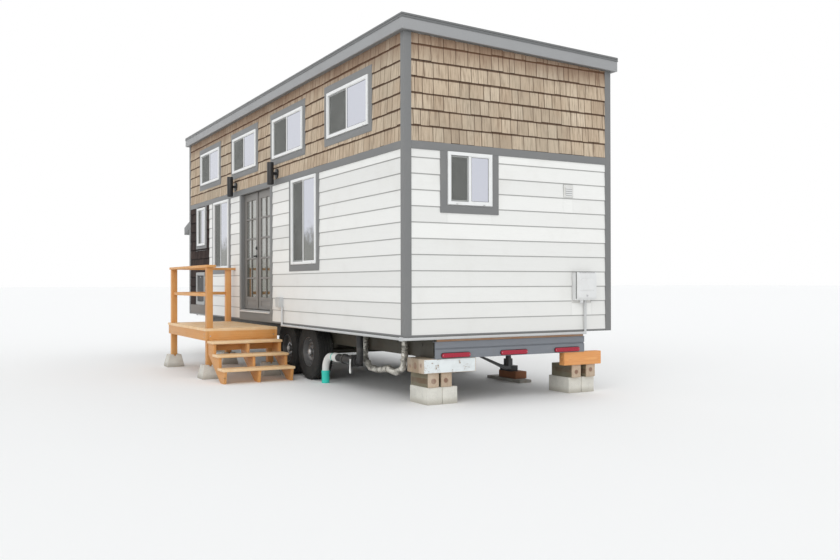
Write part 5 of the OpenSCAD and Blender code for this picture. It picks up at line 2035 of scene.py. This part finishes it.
@dataclass
class Wheels(Assembly):
    """The trailer's wheels: turned tyres with tread blocks, rims, nuts, hub caps and valves."""

    seat: float = 0.206  # radius at which a tyre sits on its rim
    sides: int = 96  # number of steps round a tyre
    # middles of its grooves, as shares of half its width
    grooves: tuple[float, ...] = (-0.52, -0.18, 0.18, 0.52)
    groove: float = 0.010  # depth of a groove
    blocks: int = 64  # number of blocks round each shoulder
    block: Point = (0.024, 0.026, 0.022)  # size of a block
    block_turn: float = 0.16  # angle by which a block is turned across the tread
    nuts: int = 8  # number of wheel nuts
    nut_circle: float = 0.078  # radius of their circle
    nut: tuple[float, float] = (0.0125, 0.03)  # radius of a nut and twice its height
    valve: float = 0.0045  # radius of the valve stem

    def build(self) -> None:
        """Build the four wheels."""
        tree = TreadTree()
        for side, sign in (("front", -1), ("back", 1)):
            for end in "ab":
                self._wheel(tree, f"{side}_{end}", sign)

    def _wheel(self, tree: TreadTree, name: str, sign: int) -> None:
        """Build one wheel.

        Args:
            tree: The tree that sets its tread blocks.
            name: Its side and its letter.
            sign: The way along Y that it faces.
        """
        body, box, rubber = f"wheel_{name}", Box.of(f"tyre_{name}"), self.palette.tyre
        radius, half = box.size.x / 2, box.size.y / 2
        turn = Matrix.Identity(4) if sign > 0 else Matrix.Rotation(math.pi, 4, "Z")
        matrix = Matrix.Translation(box.middle) @ turn
        shape = bmesh.new()
        lathe(shape, [(r, y * half) for r, y in self._profile(radius)], self.sides, matrix)
        bmesh.ops.recalc_face_normals(shape, faces=shape.faces)
        fit(shape, f"{body}_tyre", rubber, "tyre_rubber", body, f"tyre_{name}")
        places, ways, reach = [], [], radius - 0.012
        for k, angle in enumerate(turns(self.blocks)):
            for share in (-0.80, 0.80):
                spot = Vector((reach * math.sin(angle), share * half, reach * math.cos(angle)))
                places.append(matrix @ spot)
                ways.append(Vector((0.0, angle, self.block_turn if k % 2 else -self.block_turn)))
        blocks = tree.run(f"{body}_tread", points(places, turn=ways), Material=rubber, Size=self.block)
        ride(blocks, "tyre_rubber", body)
        dress(f"rim_{name}", self.palette.rim, 0.0016, body)
        self._nuts(body, matrix)

    def _profile(self, radius: float) -> list[tuple[float, float]]:
        """Draw a tyre's section: its two walls and the tread with its grooves.

        Args:
            radius: The tyre's outer radius.

        Returns:
            The radius of each point and its place as a share of half the tyre's width.
        """
        seat, rise, crown = self.seat, radius - self.seat, radius - 0.001
        wall = [
            (seat, -0.84), (0.213, -0.93), (0.222, -0.965), (0.228, -0.95), (0.236, -0.972),
            (seat + rise * 0.38, -0.998), (seat + rise * 0.42, -0.992), (seat + rise * 0.52, -1.0),
            (seat + rise * 0.56, -0.99), (seat + rise * 0.70, -0.978), (radius - 0.040, -0.955),
            (radius - 0.034, -0.93), (radius - 0.016, -0.88), (radius - 0.006, -0.80),
        ]
        tread, deep = [], radius - self.groove
        for groove in self.grooves:
            steps = ((crown, -0.05), (deep, -0.035), (deep, 0.035), (crown, 0.05))
            tread += [(r, groove + step) for r, step in steps]
        return [*wall, (crown, -0.74), *tread, (crown, 0.74), *((r, -y) for r, y in reversed(wall))]

    def _nuts(self, body: str, matrix: Matrix) -> None:
        """Add the wheel nuts, the hub cap's dome and the valve stem.

        Args:
            body: The wheel's body.
            matrix: Moves it to its place.
        """
        paint, circle, shape = self.palette, self.nut_circle, bmesh.new()
        out = (matrix.to_3x3() @ AXIS_Y).normalized()
        nuts = [Vector((circle * math.sin(t), 0.052, circle * math.cos(t))) for t in turns(self.nuts)]
        spots = [(matrix @ nut, out) for nut in nuts]
        FastenerTree().lay(f"{body}_nuts", spots, *self.nut, paint.chrome, "rim_steel", body, 6)
        for a, b, r0, r1 in (
            (0.090, 0.100, 0.041, 0.030), (0.100, 0.106, 0.030, 0.014), (0.082, 0.092, 0.045, 0.045),
        ):
            add_tube(shape, matrix @ Vector((0, a, 0)), matrix @ Vector((0, b, 0)), r0, 32, r1)
        stem = ((0.0, 0.06, 0.176), (0.0, 0.078, 0.170), (0.0, 0.09, 0.160))
        add_pipe(shape, [matrix @ Vector(p) for p in stem], self.valve, 10)
        fit(shape, f"{body}_cap", paint.alloy, "rim_steel", body)


# Fittings


@dataclass
class Fittings(Assembly):
    """Wall lights, utility hatch, power box, vent and conduit."""

    lens: float = 0.0435  # radius of a wall light's lens
    lamp_band: float = 0.0505  # radius of the bands round a wall light
    hatch_rim: float = 0.062  # width of the hatch's rim
    louvres: int = 4  # number of the vent's louvres
    straps: int = 7  # number of the conduit's straps
    # radius of the loop that a strap makes, out from the wall and up it
    strap: tuple[float, float] = (0.036, 0.0185)

    def build(self) -> None:
        """Dress the fittings."""
        paint = self.palette
        dress("sconces", paint.black, 0.002)
        dress("utility_hatch", paint.hatch, 0.003)
        dress("power_box", paint.box_grey, 0.008)
        dress("vent", paint.pvc, 0.002)
        dress("conduit", paint.conduit, 0.0015)
        self._lamps()
        self._hatch()
        self._box()
        self._vent()
        self._conduit()

    def _lamps(self) -> None:
        """Put a lens in each end of both wall lights, and two bands round each."""
        lenses, bands, reach = bmesh.new(), bmesh.new(), self.lamp_band
        for box in solid_boxes("sconces"):
            x, y, z0, z1 = box.middle.x, box.low.y + 0.05, box.low.z, box.high.z
            for z, way in ((z1, -1), (z0, 1)):
                add_tube(lenses, (x, y, z + way * 0.028), (x, y, z + way * 0.036), self.lens, 40)
            for z in (z0 + 0.07, z1 - 0.07):
                loop = [(x + reach * math.cos(t), y + reach * math.sin(t), z) for t in turns(40, True)]
                add_pipe(bands, loop, 0.0016, 6)
        fit(lenses, "lamp_lenses", self.palette.pvc, "white_plastic")
        fit(bands, "lamp_bands", self.palette.black, "black_metal")

    def _hatch(self) -> None:
        """Give the utility hatch its dark door, hinges and latch."""
        box, rim = Box.of("utility_hatch"), self.hatch_rim
        panel, parts = bmesh.new(), bmesh.new()
        x0, x1, y = box.low.x + rim, box.high.x - rim, box.low.y + 0.02
        z0, z1 = box.low.z + rim, box.high.z - rim
        add_box(panel, (x0, y, z0), (x1, y + 0.018, z1))
        add_box(panel, (x0 + 0.025, y - 0.005, z0 + 0.025), (x1 - 0.025, y + 0.002, z1 - 0.025))
        middle, latch = box.middle.x, z1 - 0.03
        add_tube(parts, (middle, y - 0.012, latch), (middle, y + 0.002, latch), 0.014)
        for x in (x0 + 0.08, x1 - 0.08):
            add_tube(parts, (x - 0.03, y - 0.003, z0 + 0.006), (x + 0.03, y - 0.003, z0 + 0.006), 0.006, 16)
        door = self.palette.black_plastic
        fit(panel, "hatch_door", door, "black_metal", width=0.0015, segments=1)
        fit(parts, "hatch_latch", self.palette.chrome, "rim_steel")

    def _box(self) -> None:
        """Give the power box a lid with its joint, a hinge and a latch."""
        box = Box.of("power_box")
        _, x, y0, y1, z0, z1 = box.sides()
        joint, lid, latch = (bmesh.new() for _ in range(3))
        add_box(joint, (x - 0.026, y0 - 0.0015, z0 + 0.05), (x - 0.021, y1 + 0.0015, z1 + 0.001))
        fit(joint, "box_joint", self.palette.gasket, "black_metal")
        plate = add_box(lid, (x - 0.02, y0 + 0.012, z0 + 0.06), (x + 0.004, y1 - 0.012, z1 - 0.02))
        for vertex in add_box(lid, (x - 0.01, y0 + 0.03, z0 + 0.12), (x + 0.016, y1 - 0.03, z1 - 0.06)):
            if vertex.co.x > x:
                vertex.co.y += 0.022 * (1 if vertex.co.y < box.middle.y else -1)
                vertex.co.z += 0.04 if vertex.co.z < box.middle.z else -0.022
        bevelled(lid, 0.003, only=plate)
        middle, low, high = box.middle.y, z0 + 0.085, z1 - 0.006
        add_tube(latch, (x, middle, low), (x + 0.012, middle, low), 0.012, 20)
        add_tube(latch, (x - 0.002, y0 + 0.03, high), (x - 0.002, y1 - 0.03, high), 0.005, 12)
        fit(lid, "box_lid", self.palette.box_grey, "grey_plastic")
        fit(latch, "box_latch", self.palette.chrome, "rim_steel")

    def _vent(self) -> None:
        """Give the vent a dark border of painted shadow round it, and louvres with dark strips of painted
        shade in the gaps under them.
        """
        x0, x, y0, y1, z0, z1 = Box.of("vent").sides()
        dark, pale = bmesh.new(), bmesh.new()
        # Painted shadow: a dark border round the vent.
        add_box(dark, (x0, y0 - 0.004, z0 - 0.004), (x0 + 0.012, y1 + 0.004, z1 + 0.004))
        step = (z1 - z0 - 0.05) / self.louvres
        for i in range(self.louvres):
            z = z0 + 0.02 + step * i
            foot, top = z + step * 0.2, z + step * 0.9
            # Painted shade: a dark strip in the gap under each louvre.
            add_box(dark, (x - 0.002, y0 + 0.022, z), (x + 0.0006, y1 - 0.022, foot))
            for vertex in add_box(pale, (x - 0.001, y0 + 0.02, foot), (x + 0.005, y1 - 0.02, top)):
                if vertex.co.x > x + 0.002 and vertex.co.z > z + step * 0.6:
                    vertex.co.x = x + 0.0004
        fit(dark, "vent_shade_gaps", self.palette.screen_rim, "sill_alloy")
        fit(pale, "vent_louvres", self.palette.box_grey, "white_plastic")

    def _conduit(self) -> None:
        """Strap the conduit to the walls and cover the receptacle."""
        box, wall = Box.of("conduit"), Box.of("front_wall_right")
        y, z, (out, up) = wall.low.y, wall.low.z, self.strap
        straps, cover = bmesh.new(), bmesh.new()
        for x in spread(box.low.x + 0.5, box.size.x - 0.9, self.straps):
            loop = [
                (x, y - 0.003 - out * math.sin(turn), z - 0.016 + up * math.cos(turn))
                for turn in spread(0.0, math.pi, 13)
            ]
            add_pipe(straps, loop, 0.0022, 6)
            add_box(straps, (x - 0.008, y - 0.004, z + 0.001), (x + 0.008, y, z + 0.024))
        receptacle = min(solid_boxes("conduit"), key=lambda solid: solid.size.x)
        x0, x1, y0, _, z0, z1 = receptacle.sides()
        add_box(cover, (x0 + 0.012, y0 - 0.012, z0 + 0.012), (x1 - 0.012, y0, z1 - 0.012))
        add_box(cover, (x0 + 0.03, y0 - 0.02, z1 - 0.02), (x1 - 0.03, y0 - 0.002, z1 - 0.008))
        fit(straps, "conduit_straps", self.palette.chrome, "rim_steel")
        fit(cover, "receptacle_cover", self.palette.conduit, "grey_plastic", width=0.004)


@dataclass
class Pipes(Assembly):
    """The waste pipe with its valve, and the supply pipe in its foil."""

    drain_height: float = 0.375  # height of the waste pipe's run over the ground
    bend: float = 0.19  # radius of its long bend
    stub: float = 0.054  # radius of the teal stub
    bore: float = 0.0475  # radius of the white bend
    valve: float = 0.046  # radius of the black valve and its pipe
    rings: int = 9  # number of rings on the valve's pipe
    foil: float = 0.036  # mean radius of the supply pipe
    foil_turn: int = 9  # number of crinkles from one turn of tape to the next
    crinkle: float = 0.0028  # how far a crinkle goes in and out
    crease: float = math.radians(14)  # angle past which a fold of the foil is sharp

    def build(self) -> None:
        """Build both pipes."""
        boxes = sorted(solid_boxes("floor_pipes"), key=lambda box: box.size.y)
        self._drain(boxes[-1])
        self._foil(boxes[0])

    def _drain(self, pipe: Box) -> None:
        """Build the waste pipe: stub, long bend, rings, collar, valve, handle and riser.

        Args:
            pipe: The box of its solid in the CAD.
        """
        x, y, z, bend = pipe.low.x + 0.054, pipe.low.y + 0.104, self.drain_height, self.bend
        teal, white, black, handle = (bmesh.new() for _ in range(4))
        end = x + bend

        def run(shape: Shape, places: Sequence[float], radius: float | list[float], sides: int) -> None:
            """Add a level length of pipe whose points lie past the bend's end."""
            add_pipe(shape, [(end + place, y, z) for place in places], radius, sides)

        add_tube(teal, (x, y, 0.0), (x, y, z - bend - 0.02), self.stub, 40)
        add_tube(teal, (x, y, z - bend - 0.045), (x, y, z - bend - 0.015), 0.0575, 40)
        run(teal, (0.094, 0.12), 0.056, 40)
        arc = [
            (end - bend * math.cos(turn), y, z - bend + bend * math.sin(turn))
            for turn in spread(0.0, math.pi / 2, 17)
        ]
        add_pipe(white, [(x, y, z - bend - 0.03), *arc, (end + 0.1, y, z)], self.bore, 40)
        run(white, (0.12, 0.128, 0.222, 0.232), [0.052, 0.060, 0.060, 0.050], 40)
        run(black, (0.225, 0.44), self.valve, 36)
        for i in range(self.rings):
            at = 0.245 + 0.02 * i
            run(black, (at, at + 0.004, at + 0.008, at + 0.012), [self.valve, 0.0505, 0.0505, self.valve], 36)
        for first, last, radius in ((0.43, 0.47, 0.066), (0.47, 0.80, 0.056), (0.80, 0.86, 0.066)):
            run(black, (first, last), radius, 36)
        add_box(black, (end + 0.802, y - 0.082, z - 0.068), (end + 0.828, y + 0.082, z + 0.082))
        corners = [(end + 0.85, y, z), (end + 0.90, y, z), (end + 0.90, y, z + 0.1)]
        add_pipe(black, rounded_path(corners, 0.04), 0.044, 32)
        add_tube(black, (end + 0.9, y, z + 0.05), (end + 0.9, y, pipe.high.z), 0.044, 32)
        at, near = end + 0.815, y - 0.092
        offsets = ((0.0, 0.03), (-0.003, -0.03), (-0.003, -0.12), (0.0, -0.15))
        grip = [(at, near + out, z + up) for out, up in offsets]
        add_pipe(handle, grip, [0.011, 0.008, 0.015, 0.011])
        paint = self.palette
        fit(teal, "drain_stub", paint.teal, "white_plastic", "root", "floor_pipes")
        fit(white, "drain_bend", paint.pvc, "white_plastic")
        fit(black, "drain_valve", paint.black_plastic, "black_metal")
        fit(handle, "valve_handle", paint.pvc, "white_plastic")

    def _foil(self, pipe: Box) -> None:
        """Build the supply pipe in crinkled foil, with turns of tape round it.

        Args:
            pipe: The box of its solid in the CAD.
        """
        y, top = pipe.middle.y, pipe.high.z
        x0, x1 = pipe.low.x + 0.042, pipe.high.x - 0.042
        corners = [
            (x0, y, top), (x0 + 0.005, y, 0.52), (x0 + 0.012, y, 0.40), (x0 + 0.15, y + 0.004, 0.295),
            (x0 + 0.40, y, 0.285), (x0 + 0.66, y - 0.006, 0.325), (x0 + 0.86, y, 0.292),
            (x1 - 0.04, y, 0.36), (x1, y, 0.50), (x1, y, top),
        ]
        path, rng, fine = rounded_path(corners, 0.05, 6), random.Random(14), []
        for a, b in zip(path, path[1:]):
            steps = max(1, round((b - a).length / 0.012))
            fine += [a.lerp(b, i / steps) for i in range(steps)]
        radii = []
        for i in range(len(fine)):
            tape = 0.0 if i % self.foil_turn else 0.006
            radii.append(self.foil + rng.uniform(-0.004, 0.006) + tape)
        shape = bmesh.new()
        add_pipe(shape, fine, radii, 18)
        for vertex in shape.verts:
            push = Vector((rng.uniform(-1, 1), rng.uniform(-1, 1), rng.uniform(-0.6, 0.6)))
            vertex.co += push * self.crinkle
        fit(shape, "foil_pipe", self.palette.foil, "white_plastic", sharp=self.crease)


# Supports


@dataclass
class Supports(Assembly):
    """Blocks, cribs, jacks and planks."""

    timber: float = 0.125  # greatest width of one upper timber of a crib
    gap: float = 0.001  # half the gap between two of them
    heart: float = 0.016  # greatest distance of the heart line from a timber's middle
    edge: float = 0.005  # radius of a timber's worn edges
    # the same for the finishes that differ
    edges: tuple[tuple[str, float], ...] = (("green", 0.0008), ("skin", 0.0008), ("pale", 0.011))

    def build(self) -> None:
        """Dress the supports, each kind of timber and block in its own finish."""
        paint = self.palette
        support = max(solid_boxes("crib_timbers"), key=lambda box: box.size.x)

        def under_jack(box: Box) -> bool:
            """Say whether a block stands under the support jack."""
            return support.low.x < box.middle.x < support.high.x

        dress("crib_blocks", paint.block, 0.006, keep=lambda box: not under_jack(box))
        dress("crib_blocks", paint.brown_block, 0.006, keep=under_jack, name="support_block")
        dress("support_jack", paint.black, 0.004)
        self._timbers(support)

    def _timbers(self, support: Box) -> None:
        """Build each crib's timbers as separate ones, and the plank under the jack's block.

        Args:
            support: The box of that plank.
        """
        paint = self.palette
        finishes = {
            "old": paint.old_timber, "pale": paint.pale_timber, "green": paint.green_timber,
            "new": paint.fir, "plank": paint.grey_plank, "skin": paint.painted_timber,
        }
        shapes = {name: bmesh.new() for name in finishes}
        middle, cribs = Box.of("crib_timbers").middle, merged("crib_timbers")
        for group in solids(cribs):
            box = box_of(group)
            if box.low.x == support.low.x:
                add_box(shapes["plank"], box.low, box.high)
                continue
            rear, near, foot = box.middle.x > middle.x, box.middle.y < middle.y, box.low.z
            feet = [v.co for v in group if v.co.z < foot + 0.001]
            tops = [v.co for v in group if v.co.z > box.high.z - 0.001]
            step = min(v.co.z for v in group if v.co.z > foot + 0.001)
            sides = sorted({round(c.y, 4) for c in feet})
            x0, x1 = min(c.x for c in feet), max(c.x for c in feet)
            for y0, y1 in zip(sides[::2], sides[1::2]):
                add_box(shapes["pale" if rear else "old"], (x0, y0, foot), (x1, y1, step))
                if rear:
                    low, high = (x0 + 0.002, y0 - 0.002, foot + 0.002), (x1 - 0.012, y0 + 0.004, step - 0.002)
                    add_box(shapes["green"], low, high)
            self._top(shapes, tops, step, rear, near)
        cribs.free()
        for name, material in finishes.items():
            nodes = ("crib_timbers",) if name == "old" else ()
            width = dict(self.edges).get(name, self.edge)
            fit(
                shapes[name], f"crib_{name}", material, "porch_timber", "root", *nodes,
                seed=4, heart=self.heart, width=width,
            )

    def _top(self, shapes: dict[str, Shape], tops: list[Vector], step: float, rear: bool, near: bool) -> None:
        """Lay a crib's upper timbers side by side across it.

        Args:
            shapes: The mesh of each finish.
            tops: Corners of the upper timbers' tops.
            step: Height that they lie at.
            rear: Whether the crib is at the trailer's rear.
            near: Whether it is on the porch's side.
        """
        low, high = (Vector(map(pick, zip(*tops))) for pick in (min, max))
        count = max(1, round((high.x - low.x) / self.timber))
        wide = (high.x - low.x) / count
        for i in range(count):
            name = "old"
            if rear and i == count - 1:
                name = "pale" if near else "new"
            start, end = low.x + i * wide + self.gap, low.x + (i + 1) * wide - self.gap
            add_box(shapes[name], (start, low.y, step), (end, high.y, high.z))
        if rear and near:
            corner = (high.x + 0.0015, high.y - 0.012, high.z - 0.006)
            add_box(shapes["skin"], (high.x - 0.004, low.y + 0.006, step + 0.006), corner)


# Studio


@dataclass(frozen=True)
class Sun:
    """A wide soft light."""

    name: str  # its name
    strength: float  # its strength
    spread: float  # the angle that it fills, in degrees
    place: Point  # where it stands
    aim: Point  # where it points


@dataclass
class Studio:
    """Floor, sky, lights and camera."""

    reach: float = 400.0  # half the floor's width
    floor: RGB = (0.96, 0.96, 0.955)  # colour of the floor
    sky: RGB = (0.97, 0.985, 1.0)  # colour of the sky's light
    sky_strength: float = 0.80  # its strength
    suns: tuple[Sun, ...] = (  # a sun before the house and a weaker one from behind it
        Sun("key", 0.87, 60.0, (12.0, -9.0, 9.0), (1.0, 0.0, 1.5)),
        Sun("fill", 0.40, 90.0, (-10.0, 9.0, 8.0), (0.0, 0.5, 1.5)),
    )
    focal: float = 36.63  # the lens's focal length on a film 36 mm wide
    # the camera's place, as its distance from the house's middle and its height
    stand: Point = (12.693, -5.881, 1.354)
    azimuth: float = 60.55  # the way that it looks, in degrees
    pitch: float = 0.25  # how far it looks up
    roll: float = -0.10  # how far it leans

    def build(self) -> None:
        """Light the house and look at it as the photo does."""
        self._floor()
        self._world()
        self._lights()
        self._camera()
        bpy.context.scene.view_settings.view_transform = "Standard"

    @staticmethod
    def _set(name: str, data: bpy.types.ID) -> Piece:
        """Put a thing of the studio's in the scene.

        Args:
            name: Its name.
            data: Its mesh, light or camera.

        Returns:
            The object.
        """
        thing = bpy.data.objects.new(name, data)
        bpy.context.scene.collection.objects.link(thing)
        return thing

    def _floor(self) -> None:
        """Lay a plain pale floor."""
        far, mesh = self.reach, bpy.data.meshes.new("studio_floor")
        mesh.from_pydata([(-far, -far, 0), (far, -far, 0), (far, far, 0), (-far, far, 0)], [], [(0, 1, 2, 3)])
        mesh.materials.append(Tree("studio_floor").finish(Base_Color=self.floor, Roughness=0.9))
        self._set("studio_floor", mesh)

    def _world(self) -> None:
        """Light from all round with a soft sky that the camera sees as white."""
        world = bpy.data.worlds.new("studio")
        bpy.context.scene.world = world
        world.use_nodes = True
        nodes, links = world.node_tree.nodes, world.node_tree.links
        nodes.clear()
        rays = nodes.new("ShaderNodeLightPath")
        seen, light = nodes.new("ShaderNodeBackground"), nodes.new("ShaderNodeBackground")
        for sky, colour, strength in ((seen, (1.0, 1.0, 1.0), 1.0), (light, self.sky, self.sky_strength)):
            sky.inputs["Color"].default_value = (*colour, 1.0)
            sky.inputs["Strength"].default_value = strength
        mask = rays.outputs["Is Camera Ray"]
        for name in ("Is Glossy Ray", "Is Transmission Ray"):
            join = nodes.new("ShaderNodeMath")
            join.operation = "MAXIMUM"
            links.new(mask, join.inputs[0])
            links.new(rays.outputs[name], join.inputs[1])
            mask = join.outputs[0]
        mix, output = nodes.new("ShaderNodeMixShader"), nodes.new("ShaderNodeOutputWorld")
        for source, socket in zip((mask, light.outputs[0], seen.outputs[0]), mix.inputs):
            links.new(source, socket)
        links.new(mix.outputs[0], output.inputs["Surface"])

    def _lights(self) -> None:
        """Shine the suns."""
        for sun in self.suns:
            lamp = bpy.data.lights.new(sun.name, "SUN")
            lamp.energy = sun.strength
            lamp.angle = math.radians(sun.spread)
            light = self._set(sun.name, lamp)
            light.location = sun.place
            light.rotation_euler = (Vector(sun.aim) - Vector(sun.place)).to_track_quat("-Z", "Y").to_euler()

    def _camera(self) -> None:
        """Stand the camera where the photo was taken."""
        lens = bpy.data.cameras.new("camera")
        lens.sensor_width = 36.0
        lens.lens = self.focal
        lens.clip_end = 1000.0
        camera, middle = self._set("camera", lens), Box.of("corner_boards").middle
        turn = Matrix.Identity(4)
        for angle, axis in ((self.azimuth, "Z"), (90.0 + self.pitch, "X"), (self.roll, "Z")):
            turn = turn @ Matrix.Rotation(math.radians(angle), 4, axis)
        across, along, height = self.stand
        camera.matrix_world = Matrix.Translation((middle.x + across, middle.y + along, height)) @ turn
        bpy.context.scene.camera = camera


def main() -> None:
    logging.basicConfig(level=logging.INFO, stream=sys.stdout, format="%(name)s: %(message)s")
    palette = Palette()
    house = House(palette)
    house.clad()
    house.dress_body()
    house.nail_trims()
    Windows(palette, house).build()
    for assembly in (Doors, Porch, RunningGear, Wheels, Fittings, Pipes, Supports):
        assembly(palette).build()
    Studio().build()


if __name__ == "__main__":
    main()
